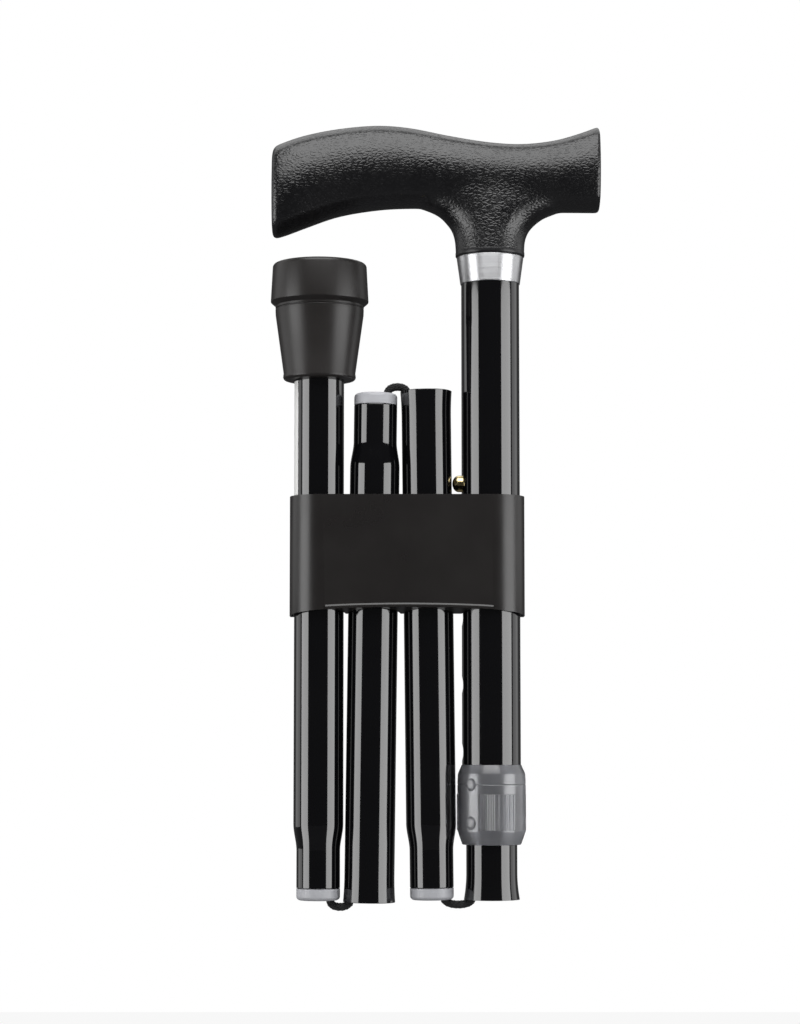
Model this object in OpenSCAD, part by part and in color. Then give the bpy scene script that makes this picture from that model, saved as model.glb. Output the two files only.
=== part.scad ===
// Folding walking cane, folded flat, with its four shaft sections side by side
// in a holder. Millimetres. The origin is the middle of the hand grip on the
// shaft axis, +Z runs up the shaft and +X from the rubber tip to the shaft.

/* [Handle] */
// Reach of the handle from the shaft axis to its nose
handle_nose = 83.5; // [70:0.5:95]
// Reach of the handle from the shaft axis to its heel
handle_heel = 42; // [34:0.5:50]
// Height of the palm crest over the grip centre
grip_crest = 18.9; // [15:0.1:22]
// Depth of the nose's lower corner under the grip centre
nose_drop = 25.2; // [21:0.1:30]
// Thickness of the grip from side to side
grip_depth = 27; // [25:0.5:32]
// Outer diameter of the neck under the grip
neck_d = 26.2; // [25:0.1:30]
// Depth of the neck's end under the grip centre
neck_drop = 32.3; // [29:0.1:38]
// Depth of the socket that takes the shaft
socket_depth = 20; // [14:0.5:21]
// Length of the bright ferrule under the neck
ferrule_h = 10.5; // [6:0.1:16]

/* [Height-adjusting shaft] */
// Outer diameter of the upper tube
shaft_od = 22.2; // [20:0.1:24]
// Wall of the upper tube
shaft_wall = 1.2; // [0.8:0.1:1.6]
// Depth of the upper tube's lower end under the grip centre
shaft_drop = 238; // [232:1:246]
// Radial gap between the upper and the lower tube
slide_gap = 0.3; // [0.2:0.05:0.5]
// Wall of the lower tube
inner_wall = 1.2; // [0.8:0.1:1.5]
// Depth of the lower tube's mouth under the grip centre
mouth_drop = 276.1; // [272:0.1:285]
// Outer diameter of the lower tube's flared mouth
inner_mouth_d = 21; // [20:0.1:22]
// Diameter of the height holes
hole_d = 6.6; // [5:0.1:8]
// Distance from one height hole to the next
hole_pitch = 25.4; // [20:0.1:26]
// Number of height holes
hole_count = 5; // [2:1:5]
// Depth of the top hole under the grip centre
button_drop = 119.4; // [110:0.1:122]
// Diameter of the snap button
button_d = 6.3; // [4.6:0.1:6.4]
// Height of the snap button outside the upper tube
button_proud = 3.5; // [2:0.1:4.5]

/* [Lock nut] */
// Outer diameter of the lock nut
nut_d = 26; // [25:0.1:28]
// Height of the lock nut
nut_h = 29.8; // [24:0.1:33]
// How far the lock nut reaches up over the upper tube
nut_overlap = 12.2; // [9:0.1:14]
// Wall of the clamping collet inside the nut
collet_wall = 0.7; // [0.5:0.05:0.8]

/* [Folding sections] */
// Outer diameter of a folding section
section_od = 18.8; // [17.6:0.1:19.4]
// Wall of a folding section
section_wall = 1; // [0.8:0.1:1.3]
// Height of a folding section from its plug end to its mouth
section_len = 192; // [184:1:198]
// Outer diameter of a section's flared mouth
mouth_d = 19.6; // [19.4:0.1:20.2]
// Length of a flared mouth
flare_len = 10; // [6:0.5:12]
// Widening of the bore at a flared mouth, on the radius
mouth_lead = 0.45; // [0.2:0.05:0.6]
// Radial gap between a plug end and the bore that takes it
plug_gap = 0.2; // [0.1:0.05:0.4]
// Length of the straight plug end, with its bush
plug_len = 18.5; // [15:0.5:22]
// Length of the taper from the plug end to the full section
taper_len = 10; // [7:0.5:14]
// Height of the end bush that shows outside the tube
bush_h = 4.6; // [3:0.1:6]

/* [Bundle] */
// Sideways lean of the second section from foot to head
section_2_lean = 2.1; // [1.5:0.1:2.6]
// Sideways lean of the third section from head to foot
section_3_lean = 2.4; // [1.8:0.1:3]
// Sideways gap between the lock nut and the second section's foot line
nut_gap = 0.1; // [0.1:0.05:1]
// Gap between the second section's mouth and the third's plug end
head_gap = 1.1; // [0.9:0.05:2]
// Gap between the third section's mouth and the fourth's plug end
foot_gap = 1.15; // [0.95:0.05:2]
// How far the third section's head lies under the second's
head_step = 0.9; // [0:0.1:2]
// How far the fourth section's foot lies over the third's
foot_step = 0.6; // [0:0.1:2]

/* [Rubber tip] */
// Clear height between the handle's nose and the tip's base
tip_clear = 9.6; // [6:0.1:16]
// Height of the rubber tip
tip_h = 45; // [38:0.5:50]
// Diameter of the tip's brim
brim_d = 37.4; // [34:0.1:40]
// Height of the tip's brim
brim_h = 15.2; // [11:0.1:20]
// Diameter of the tip's body under the brim
tip_body_d = 33.8; // [29:0.1:35]
// Diameter of the tip's open end
tip_end_d = 27.6; // [24:0.1:30]
// Thickness of rubber under the tube's end
tip_floor = 7; // [5:0.5:9]

/* [Holder] */
// Depth of the holder's top edge under the grip centre
holder_drop = 124.4; // [120:0.1:128]
// Height of the holder
holder_h = 45.3; // [38:0.1:50]
// Wall of the holder
holder_wall = 1.4; // [1:0.1:2]
// Gap between the holder and the tubes
holder_gap = 0.3; // [0.25:0.05:0.4]
// How far the holder's lower front edge is scooped up
holder_scoop = 3.6; // [0.5:0.1:6]
// Height of the webs that keep the tubes apart
web_h = 9; // [5:0.5:14]

/* [Elastic cord and label] */
// Diameter of the elastic cord
cord_d = 3.2; // [2.6:0.1:3.4]
// Gap between a cord loop and the tube ends that it passes
loop_gap = 0.3; // [0.2:0.05:0.6]
// Width of the label around the fourth section
label_w = 26; // [16:0.5:30]
// Height of the label
label_h = 45; // [20:1:50]

/* [Hidden] */

$fn = 64;
// Overrun of every cut past the face that it opens
cut = 1;
// Gap between pieces that are pressed or glued together
seat_gap = 0.05;
// Smallest running gap between pieces that move past each other
run_gap = 0.3;

// Radii that the pieces share
shaft_r = shaft_od / 2;
shaft_bore_r = shaft_r - shaft_wall;
inner_r = shaft_bore_r - slide_gap;
inner_bore_r = inner_r - inner_wall;
section_r = section_od / 2;
section_bore_r = section_r - section_wall;
plug_r = min(section_bore_r, inner_bore_r) - plug_gap;
plug_bore_r = plug_r - section_wall;
cord_r = cord_d / 2;

// Heights along the shaft
shaft_top_z = socket_depth - neck_drop;
nut_top_z = nut_overlap - shaft_drop;
nut_foot_z = nut_top_z - nut_h;
// Reach of the lower tube over its button hole
inner_head = 13.2;
inner_top_z = inner_head - button_drop;
holder_top_z = -holder_drop;
holder_foot_z = holder_top_z - holder_h;

// The rubber tip, and the widest radius that it has from its open end up to a height
tip_base_z = -nose_drop - tip_clear;
tip_end_z = tip_base_z - tip_h;
function tip_reach(z) = z < tip_end_z ? 0 : z < tip_base_z - brim_h ? tip_body_d / 2 : brim_d / 2;

// End points of the folded sections, as [x, z]. The fourth clears the third's
// mouth at the foot, and its rubber tip clears the third's head
section_2_foot = [-(nut_d / 2 + section_r + nut_gap), -mouth_drop];
section_2_head = section_2_foot + [-section_2_lean, section_len];
section_3_head = section_2_head - [mouth_d / 2 + plug_r + head_gap, head_step];
section_3_foot = section_3_head - [section_3_lean, section_len];
section_4_x = min(section_3_foot.x - mouth_d / 2 - plug_r - foot_gap,
                  section_3_head.x - plug_r - foot_gap - tip_reach(section_3_head.y));
section_4_foot = [section_4_x, section_3_foot.y + foot_step];

// What the rubber tip holds, counted down from its base
washer_t = 1.2;
anchor_flange_t = 1.5;
section_4_top_z = tip_base_z - tip_floor - washer_t - anchor_flange_t;
section_4_len = section_4_top_z - section_4_foot.y;

// Stations along the grip from nose to heel, and its form at each of them
grip_station_shares = [0, 0.04, 0.1, 0.2, 0.32, 0.42, 0.54, 0.66, 0.76, 0.86, 0.94, 1];
grip_top_shares = [0.56, 0.67, 0.8, 0.93, 1, 0.95, 0.79, 0.66, 0.62, 0.69, 0.84, 0.99];
grip_under_shares = [1, 0.94, 0.825, 0.65, 0.546, 0.518, 0.53, 0.548, 0.563, 0.579, 0.583, 0.587];
grip_width_shares = [0.88, 0.95, 0.98, 1, 1, 0.99, 0.97, 0.96, 0.95, 0.95, 0.94, 0.93];
// Levels of the neck from its end to the middle of the grip, and its spread there
neck_level_shares = [0, 0.2, 0.33, 0.44, 0.5, 0.55, 0.62, 0.85];
neck_nose_shares = [1, 1.03, 1.13, 1.34, 1.5, 1.72, 2.15, 2.5];
neck_heel_shares = [1, 1.03, 1.17, 1.45, 1.7, 2.04, 2.4, 2.5];
neck_width_shares = [1, 1, 1, 0.99, 0.99, 0.98, 0.97, 0.94];
grip_sides = 28;
grip_steps = 30;
neck_steps = 12;
// Squareness of the grip's section: 2 is an ellipse
grip_square = 2.5;
// Rounding of the nose and heel edges
nose_round = 2.4;
heel_round = 1;

// Smooth value of a table at a place between its first and last station
function slope(xs, ys, i) = let (a = max(i - 1, 0), b = min(i + 1, len(xs) - 1))
    (ys[b] - ys[a]) / (xs[b] - xs[a]);
function span_of(xs, x, i = 0) = i >= len(xs) - 2 || x <= xs[i + 1] ? i : span_of(xs, x, i + 1);
function smooth(xs, ys, x) = let (
    i = span_of(xs, x), w = xs[i + 1] - xs[i], t = (x - xs[i]) / w,
    a = ys[i], b = ys[i + 1], p = slope(xs, ys, i) * w, q = slope(xs, ys, i + 1) * w)
    a + t * (p + t * (3 * (b - a) - 2 * p - q + t * (2 * (a - b) + p + q)));

function power(v, e) = sign(v) * pow(abs(v), e);
function oval(k, n, e) = [power(cos(360 * k / n), 2 / e), power(sin(360 * k / n), 2 / e)];

// Closed skin over rings of equal count, with a flat cap at each end
module skin(rings) {
    n = len(rings[0]);
    last = len(rings) - 1;
    sides = [for (i = [0:last - 1]) for (k = [0:n - 1]) let (m = (k + 1) % n)
        each [[i * n + k, (i + 1) * n + k, i * n + m], [i * n + m, (i + 1) * n + k, (i + 1) * n + m]]];
    caps = [for (k = [1:n - 2]) each [[0, k, k + 1], [last * n, last * n + k + 1, last * n + k]]];
    polyhedron([for (r = rings) each r], concat(sides, caps));
}

// Distance by which a rounded edge draws the section in, a given way from the end
function edge_inset(r, d) = d >= r ? 0 : r - sqrt(r * r - (r - d) * (r - d));

function grip_ring(d) = let (
    length = handle_nose + handle_heel, s = d / length,
    inset = edge_inset(nose_round, d) + edge_inset(heel_round, length - d),
    top = grip_crest * smooth(grip_station_shares, grip_top_shares, s) - inset,
    under = -nose_drop * smooth(grip_station_shares, grip_under_shares, s) + inset,
    half = grip_depth / 2 * smooth(grip_station_shares, grip_width_shares, s) - inset)
    [for (k = [0:grip_sides - 1]) let (o = oval(k, grip_sides, grip_square))
        [d - handle_nose, half * o.x, (top + under) / 2 + (top - under) / 2 * o.y]];

function neck_ring(s) = let (
    z = neck_drop * (s - 1), r = neck_d / 2,
    nose = -r * smooth(neck_level_shares, neck_nose_shares, s),
    heel = r * smooth(neck_level_shares, neck_heel_shares, s),
    half = r * smooth(neck_level_shares, neck_width_shares, s))
    [for (k = [0:grip_sides - 1]) let (o = oval(k, grip_sides, 2))
        [(nose + heel) / 2 + (heel - nose) / 2 * o.x, half * o.y, z]];

// Ring places along the grip: close together at the rounded ends
nose_place_shares = [0, 0.12, 0.4];
heel_place_shares = [0.6, 0];
function grip_places() = let (length = handle_nose + handle_heel) concat(
    [for (t = nose_place_shares) nose_round * t],
    [for (k = [0:grip_steps]) nose_round + (length - nose_round - heel_round) * k / grip_steps],
    [for (t = heel_place_shares) length - heel_round * t]);

module handle() {
    color("#2b2b2d") difference() {
        union() {
            skin([for (d = grip_places()) grip_ring(d)]);
            top_level = neck_level_shares[len(neck_level_shares) - 1];
            skin([for (k = [0:neck_steps]) neck_ring(top_level * k / neck_steps)]);
        }
        translate([0, 0, -neck_drop - cut])
            cylinder(r = shaft_r + seat_gap, h = socket_depth + cut);
    }
}

// Ferrule: a thin bright cone that hides the joint of neck and tube
ferrule_step = 0.35;
ferrule_top_d = neck_d - 2 * ferrule_step;
ferrule_foot_wall = 0.35;
module ferrule() {
    color("#c9cacc") translate([0, 0, -neck_drop - ferrule_h]) difference() {
        cylinder(r1 = shaft_r + ferrule_foot_wall, d2 = ferrule_top_d, h = ferrule_h - seat_gap);
        translate([0, 0, -cut]) cylinder(r = shaft_r + seat_gap, h = ferrule_h + 2 * cut);
    }
}

// A round hole through the left wall of the upright tubes
module wall_hole(z, d, r) {
    translate([-r - cut, 0, z]) rotate([0, 90, 0]) cylinder(d = d, h = r + cut);
}

module outer_tube() {
    color("#0c0c0e") difference() {
        translate([0, 0, -shaft_drop]) cylinder(r = shaft_r, h = shaft_drop + shaft_top_z);
        translate([0, 0, -shaft_drop - cut])
            cylinder(r = shaft_bore_r, h = shaft_drop + shaft_top_z + 2 * cut);
        for (k = [0:hole_count - 1]) wall_hole(-button_drop - k * hole_pitch, hole_d, shaft_r);
    }
}

// Collet: a split sleeve on the upper tube's end that the nut squeezes on the lower tube
collet_headroom = 2.4;
collet_footroom = 3.6;
collet_sleeve_h = nut_overlap - collet_headroom;
collet_finger_h = nut_h - nut_overlap - collet_footroom;
collet_taper = 0.8;
collet_slit = 1.2;
collet_slit_turns = [45, 135];
collet_r = shaft_r + seat_gap + collet_wall;
module collet() {
    color("#8d9094") translate([0, 0, -shaft_drop]) difference() {
        rotate_extrude() polygon([
            [shaft_r + seat_gap, collet_sleeve_h], [collet_r, collet_sleeve_h], [collet_r, 0],
            [collet_r - collet_taper, -collet_finger_h], [inner_r + run_gap, -collet_finger_h],
            [inner_r + run_gap, -seat_gap], [shaft_r + seat_gap, -seat_gap]]);
        for (a = collet_slit_turns) rotate([0, 0, a])
            translate([-collet_r - cut, -collet_slit / 2, -collet_finger_h - cut])
                cube([2 * (collet_r + cut), collet_slit, collet_finger_h + cut - shaft_wall]);
    }
}

// Lock nut: a clear shell with drawn-in ends and three panels of grip ribs
nut_shoulder_h = 4.6;
nut_shoulder_steps = 6;
nut_rim_t = 0.2;
nut_lip_h = 1.6;
nut_rib_count = 9;
nut_rib_d = 0.9;
nut_rib_proud = 0.22;
nut_rib_turn = 6.4;
nut_rib_share = 0.42;
nut_panel_count = 3;

// A quarter of an oval from a drawn-in rim at height 0 to the full radius
function shoulder(r, draw, h) = [for (k = [0:nut_shoulder_steps]) let (a = 90 * k / nut_shoulder_steps)
    [r - draw * (1 - sin(a)), h * (1 - cos(a))]];

module lock_nut() {
    nut_r = nut_d / 2 - nut_rib_proud;
    rib_h = nut_h * nut_rib_share;
    bore_r = collet_r + run_gap;
    lip_r = inner_r + slide_gap + run_gap;
    cone_z = nut_h - nut_overlap - collet_finger_h - run_gap;
    foot_in = nut_r - lip_r - nut_rim_t;
    top_in = nut_r - shaft_r - run_gap - nut_rim_t;
    foot = shoulder(nut_r, foot_in, nut_shoulder_h);
    top = [for (p = shoulder(nut_r, top_in, nut_shoulder_h)) [p.x, nut_h - p.y]];
    color("#a9adb3") translate([0, 0, nut_foot_z]) {
        rotate_extrude() polygon(concat([[lip_r, 0]], foot, flip(top), [
            [shaft_r + run_gap, nut_h], [shaft_r + run_gap, nut_h - nut_lip_h],
            [bore_r, nut_h - nut_lip_h], [bore_r, nut_h - nut_overlap],
            [bore_r - collet_taper, cone_z], [lip_r, cone_z]]));
        for (panel = [0:nut_panel_count - 1]) for (k = [0:nut_rib_count - 1])
            rotate([0, 0, 360 * panel / nut_panel_count - 90 + (k - (nut_rib_count - 1) / 2) * nut_rib_turn])
                translate([nut_d / 2 - nut_rib_d / 2, 0, (nut_h - rib_h) / 2])
                    cylinder(d = nut_rib_d, h = rib_h, $fn = 16);
    }
}

// Holder: a channel round the front of the bundle, open at the back
holder_front_r = shaft_r + holder_gap;
holder_left_x = section_4_x - section_r - holder_gap;
holder_side_share = 0.95;
holder_side_y = section_r * holder_side_share;
scoop_steps = 24;
web_back_share = 0.25;
// Travel of a plug end into its mouth, and the sideways drift of the leaning sections over it
seat_travel = 22.5;
drift_3 = 2 * seat_travel * (section_2_lean + section_3_lean) / section_len;
drift_4 = seat_travel * (2 * section_2_lean + section_3_lean) / section_len;
// Place along a section's axis at a height
function axis_x(a, b, z) = a.x + (b.x - a.x) * (z - a.y) / (b.y - a.y);

// Front half of a long round-ended shape, with straight sides to the back
module holder_outline(grow) {
    r = holder_front_r + grow;
    left = holder_left_x - grow;
    intersection() {
        union() {
            translate([left + r, 0]) circle(r = r);
            circle(r = r);
            translate([left + r, -r]) square([-left - r, r]);
        }
        translate([left, -r]) square([r - left, r]);
    }
    translate([left, -seat_gap]) square([r - left, holder_side_y + seat_gap]);
}

// Web between two tubes, hollowed to both of them and bevelled up to the scooped edge
module holder_web(left_x, drift, right_x, right_r) {
    front = holder_front_r + holder_wall / 2;
    back = section_r * web_back_share;
    difference() {
        linear_extrude(web_h) difference() {
            translate([left_x, -front]) square([right_x - left_x, front - back]);
            translate([left_x, 0]) circle(r = section_r + holder_gap + drift);
            translate([right_x, 0]) circle(r = right_r + holder_gap);
        }
        translate([left_x, 0, 0]) rotate([90, 0, 90]) linear_extrude(right_x - left_x)
            polygon([[0, 0], [0, -cut], [-front - cut, -cut],
                     [-front - cut, holder_scoop], [-front, holder_scoop]]);
    }
}

module holder() {
    x_2 = axis_x(section_2_foot, section_2_head, holder_foot_z + web_h);
    x_3 = axis_x(section_3_foot, section_3_head, holder_foot_z);
    middle = (holder_front_r + holder_left_x) / 2;
    half_w = (holder_front_r - holder_left_x + holder_wall) / 2;
    arch = [for (k = [0:scoop_steps]) let (a = 180 * k / scoop_steps)
        [middle + half_w * cos(a), holder_scoop * sin(a)]];
    color("#262628") translate([0, 0, holder_foot_z]) {
        difference() {
            linear_extrude(holder_h) difference() {
                holder_outline(holder_wall);
                holder_outline(0);
                translate([holder_left_x, 0])
                    square([holder_front_r - holder_left_x, holder_side_y + cut]);
            }
            rotate([90, 0, 0]) linear_extrude(holder_front_r + holder_wall + cut)
                polygon(concat(arch, [[middle - half_w, -cut], [middle + half_w, -cut]]));
        }
        holder_web(x_2, 0, 0, shaft_r);
        holder_web(x_3, drift_3, x_2, section_r);
        holder_web(section_4_x, drift_4, x_3, section_r);
    }
}

// Points of a trumpet flare that ends in a mouth at height 0, seen from below
flare_points = 6;
function flare(r, mouth_r, h) = [for (k = [0:flare_points]) let (t = k / flare_points)
    [r + (mouth_r - r) * t * t, h * (t - 1)]];
function flip(points) = [for (k = [len(points) - 1:-1:0]) points[k]];
function lift(points, z) = [for (p = points) [p.x, p.y + z]];

// Lower tube of the shaft, mouth down
module inner_tube() {
    outer = flare(inner_r, inner_mouth_d / 2, flare_len);
    bore = flare(inner_bore_r, inner_bore_r + mouth_lead, flare_len);
    top = mouth_drop + inner_top_z;
    color("#0c0c0e") difference() {
        translate([0, 0, -mouth_drop]) rotate_extrude() mirror([0, 1])
            polygon(concat([[inner_bore_r, -top], [inner_r, -top]], outer, flip(bore)));
        wall_hole(-button_drop, hole_d, inner_r);
    }
}

// Glide bush: a plastic cap that keeps the lower tube central in the upper one
glide_h = 5;
glide_spigot_h = 6;
glide_gap = 0.1;
glide_wall = 2.4;
module glide_bush() {
    color("#d9d9d6") translate([0, 0, inner_top_z]) difference() {
        union() {
            translate([0, 0, seat_gap]) cylinder(r = shaft_bore_r - glide_gap, h = glide_h - seat_gap);
            translate([0, 0, -glide_spigot_h])
                cylinder(r = inner_bore_r - seat_gap, h = glide_spigot_h + glide_h / 2);
        }
        translate([0, 0, -glide_spigot_h - cut])
            cylinder(r = inner_bore_r - glide_wall, h = glide_spigot_h + glide_h + 2 * cut);
    }
}

// Snap button: a domed brass pin riveted on a folded leaf spring in the lower tube
spring_w = 5;
spring_t = 0.5;
spring_drop = 16;
spring_wall_x = sqrt(inner_bore_r * inner_bore_r - spring_w * spring_w / 4) - run_gap / 2;
button_dome_share = 0.4;
button_dome = button_d * button_dome_share;
module snap_button() {
    pin_len = shaft_r + button_proud - spring_wall_x;
    color("#c8a24a") translate([-spring_wall_x, 0, -button_drop]) rotate([0, -90, 0])
        rotate_extrude() polygon(concat([[0, 0], [button_d / 2, 0]],
            [for (a = [0:15:90]) [button_d / 2 * cos(a), pin_len - button_dome + button_dome * sin(a)]]));
}

module button_spring() {
    bend = [0, -spring_drop];
    leg = [-spring_wall_x, button_d / 2 + spring_t];
    color("#b9bcc0") translate([0, spring_w / 2, -button_drop]) rotate([90, 0, 0])
        linear_extrude(spring_w) polygon([
            leg, [leg.x, -button_d / 2], bend - [spring_t, 0], bend + [spring_t, 0],
            [-leg.x, -button_d / 2], [-leg.x, leg.y], [-leg.x - spring_t, leg.y],
            [-leg.x - spring_t, -button_d / 2], bend + [0, 2 * spring_t],
            [leg.x + spring_t, -button_d / 2], [leg.x + spring_t, leg.y]]);
}

// Places children with their +Z from one [x, z] point towards another
module along(a, b) {
    translate([a.x, 0, a.y]) rotate([0, atan2(b.x - a.x, b.y - a.y), 0]) children();
}

// Swaged end of a section: a smooth step from the plug radius to the full radius
swage_points = 6;
function swage(r, full_r) = [for (k = [0:swage_points]) let (t = k / swage_points)
    [r + (full_r - r) * t * t * (3 - 2 * t), plug_len + taper_len * t]];

// A section's tube, with its plug end at height 0
module section_tube(length, with_mouth) {
    mouth_out = with_mouth ? lift(flare(section_r, mouth_d / 2, flare_len), length) : [[section_r, length]];
    mouth_in = with_mouth ? lift(flare(section_bore_r, section_bore_r + mouth_lead, flare_len), length)
        : [[section_bore_r, length]];
    color("#0c0c0e") rotate_extrude() polygon(concat(
        [[plug_r, bush_h]], swage(plug_r, section_r), mouth_out,
        flip(mouth_in), flip(swage(plug_bore_r, section_bore_r)), [[plug_bore_r, bush_h]]));
}

// End bush of a section: a pale ring with a rounded nose that the cord runs through
bush_wall = 2;
bush_nose_r = 1.5;
bush_lip_r = 0.4;
bush_spigot_h = 7;
bush_throat_r = plug_r - bush_wall;
bush_lip_steps = 5;
module end_bush() {
    nose = [for (k = [0:bush_lip_steps]) let (a = 90 * k / bush_lip_steps)
        [plug_r - bush_nose_r * (1 - sin(a)), bush_nose_r * (1 - cos(a))]];
    lip = [for (k = [0:bush_lip_steps]) let (a = 90 * k / bush_lip_steps)
        [bush_throat_r + bush_lip_r * (1 - cos(a)), bush_lip_r * (1 - sin(a))]];
    color("#d6d7da") rotate_extrude() polygon(concat(lip, nose,
        [[plug_r, bush_h - seat_gap], [plug_bore_r - seat_gap, bush_h - seat_gap],
         [plug_bore_r - seat_gap, bush_h + bush_spigot_h],
         [plug_bore_r - section_wall, bush_h + bush_spigot_h], [plug_bore_r - section_wall, bush_h],
         [bush_throat_r, bush_h - section_wall]]));
}

// Rubber tip, base up
tip_edge_r = 1.8;
tip_edge_steps = 5;
brim_taper = 0.4;
tip_end_r = 1.6;
tread_w = 2;
tread_depth = 1;
tread_shares = [0.42, 0.68];
module rubber_tip() {
    brim_r = brim_d / 2;
    edge = [for (k = [0:tip_edge_steps]) let (a = 90 * k / tip_edge_steps)
        [brim_r - brim_taper - tip_edge_r * (1 - sin(a)), -tip_edge_r * (1 - cos(a))]];
    color("#3a3938") translate([section_4_x, 0, tip_base_z]) difference() {
        rotate_extrude() polygon(concat([[0, 0]], edge, [
            [brim_r, tip_end_r - brim_h], [brim_r - tip_end_r / 2, -brim_h],
            [tip_body_d / 2, -brim_h - tip_end_r / 2],
            [tip_end_d / 2, tip_end_r - tip_h], [tip_end_d / 2 - tip_end_r / 2, -tip_h],
            [section_r + seat_gap, -tip_h], [section_r + seat_gap, -tip_floor], [0, -tip_floor]]));
        for (s = tread_shares) rotate_extrude() translate([brim_r * s, -tread_depth])
            square([tread_w, tread_depth + cut]);
    }
}

module tip_washer() {
    color("#b4b6b9") translate([section_4_x, 0, tip_base_z - tip_floor - washer_t])
        cylinder(r = section_r - run_gap, h = washer_t - seat_gap);
}

// Cord anchors: plugs that the knotted ends of the elastic pull against
anchor_h = 9;
knot_share = 0.9;
knot_r = cord_d * knot_share;
knot_room = knot_r + run_gap;
anchor_slack = 0.6;
joint_gap = 0.15;
// Depth of the knot's seat, at which the knot ends just under the lower anchor's flange
knot_depth = 2 * knot_r + joint_gap + run_gap - anchor_flange_t;
module anchor_plug(r, flange_r, flange_t) {
    difference() {
        union() {
            translate([0, 0, -anchor_h]) cylinder(r = r - seat_gap, h = anchor_h + flange_t / 2);
            if (flange_t > 0) translate([0, 0, seat_gap])
                cylinder(r = flange_r, h = flange_t - 2 * seat_gap);
        }
        translate([0, 0, -anchor_h - cut]) cylinder(r = cord_r + anchor_slack, h = anchor_h + cut + flange_t);
        translate([0, 0, -knot_depth]) cylinder(r = knot_room, h = knot_depth + flange_t + cut);
    }
}

upper_anchor_z = -button_drop - spring_drop - anchor_h;
module upper_cord_anchor() {
    color("#55575a") translate([0, 0, upper_anchor_z]) anchor_plug(inner_bore_r, 0, 0);
}

module lower_cord_anchor() {
    color("#55575a") translate([section_4_x, 0, section_4_top_z])
        anchor_plug(section_bore_r, section_r - run_gap, anchor_flange_t);
}

// A cord loop goes round two tube ends: out of the bush along its wall in a wide
// bend, across to the next tube and in over that tube's rim in a tight bend
bush_bend_in = 1;
bush_bend_r = cord_r + bush_bend_in;
rim_gap = 0.24;
bush_lean = bush_throat_r - cord_r - rim_gap;
rim_bend_r = cord_r + rim_gap;
function loop_z(end_a, end_b, up) = up * max(up * end_a, up * end_b) + up * (cord_r + loop_gap);
loop_1_z = loop_z(section_2_foot.y, -mouth_drop, -1);
loop_2_z = loop_z(section_3_head.y, section_2_head.y, 1);
loop_3_z = loop_z(section_4_foot.y, section_3_foot.y, -1);
loop_1_rim_x = -inner_bore_r - mouth_lead;
loop_2_rim_x = section_2_head.x - section_bore_r - mouth_lead;
loop_3_rim_x = section_3_foot.x - section_bore_r - mouth_lead;

// A quarter bend in the XZ plane about [x, z], from one angle on
module cord_bend(x, z, r, from) {
    translate([x, 0, z]) rotate([90, 0, 0]) rotate([0, 0, from])
        rotate_extrude(angle = 90) translate([r, 0]) circle(d = cord_d, $fn = 24);
}

// A straight stretch of cord between two [x, z] points
module cord_line(a, b) {
    color("#1c1c1d") along(a, b) translate([0, 0, joint_gap])
        cylinder(d = cord_d, h = norm(b - a) - 2 * joint_gap, $fn = 24);
}

module cord_loop(bush_x, rim_x, z, up) {
    start_x = bush_x + bush_lean + bush_bend_r;
    color("#1c1c1d") union() {
        cord_bend(start_x, z - up * bush_bend_r, bush_bend_r, up > 0 ? 90 : 180);
        cord_bend(rim_x, z - up * rim_bend_r, rim_bend_r, up > 0 ? 0 : 270);
        translate([start_x, 0, z]) rotate([0, 90, 0]) cylinder(d = cord_d, h = rim_x - start_x, $fn = 24);
    }
}

// Where a loop leaves the bush and where it comes in over the rim
function loop_start(bush_x, z, up) = [bush_x + bush_lean, z - up * bush_bend_r];
function loop_stop(rim_x, z, up) = [rim_x + rim_bend_r, z - up * rim_bend_r];

module cord_loop_1() {
    cord_loop(section_2_foot.x, loop_1_rim_x, loop_1_z, -1);
}

module cord_loop_2() {
    cord_loop(section_3_head.x, loop_2_rim_x, loop_2_z, 1);
}

module cord_loop_3() {
    cord_loop(section_4_x, loop_3_rim_x, loop_3_z, -1);
}

// The knotted top of a cord run, seated in its anchor
module cord_end(x, z) {
    color("#1c1c1d") translate([x, 0, z - knot_depth + knot_r + joint_gap]) sphere(r = knot_r, $fn = 32);
}

module cord_run_1() {
    knot_z = upper_anchor_z - knot_depth + knot_r;
    cord_line(loop_stop(loop_1_rim_x, loop_1_z, -1), [0, knot_z]);
    cord_end(0, upper_anchor_z);
}

module cord_run_2() {
    cord_line(loop_start(section_2_foot.x, loop_1_z, -1), loop_stop(loop_2_rim_x, loop_2_z, 1));
}

module cord_run_3() {
    cord_line(loop_start(section_3_head.x, loop_2_z, 1), loop_stop(loop_3_rim_x, loop_3_z, -1));
}

module cord_run_4() {
    start = loop_start(section_4_x, loop_3_z, -1);
    cord_line(start, [section_4_x, section_4_top_z - knot_depth + knot_r]);
    cord_end(section_4_x, section_4_top_z);
}

module tube_2() {
    along(section_2_foot, section_2_head) section_tube(norm(section_2_head - section_2_foot), true);
}

module tube_3() {
    along(section_3_head, section_3_foot) section_tube(norm(section_3_head - section_3_foot), true);
}

module tube_4() {
    translate([section_4_x, 0, section_4_foot.y]) section_tube(section_4_len, false);
}

module end_bush_2() {
    along(section_2_foot, section_2_head) end_bush();
}

module end_bush_3() {
    along(section_3_head, section_3_foot) end_bush();
}

module end_bush_4() {
    translate([section_4_x, 0, section_4_foot.y]) end_bush();
}

// Blank label on the left and back of the fourth section, under the tip
label_t = 0.12;
label_gap = 0.01;
label_front = 34;
label_below_tip = 0.6;
module label() {
    turn = label_w / section_r * 180 / PI;
    color("white") translate([section_4_x, 0, tip_end_z - label_below_tip - label_h])
        rotate([0, 0, 180 + label_front - turn]) rotate_extrude(angle = turn)
            translate([section_r + label_gap, 0]) square([label_t, label_h]);
}

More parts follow.
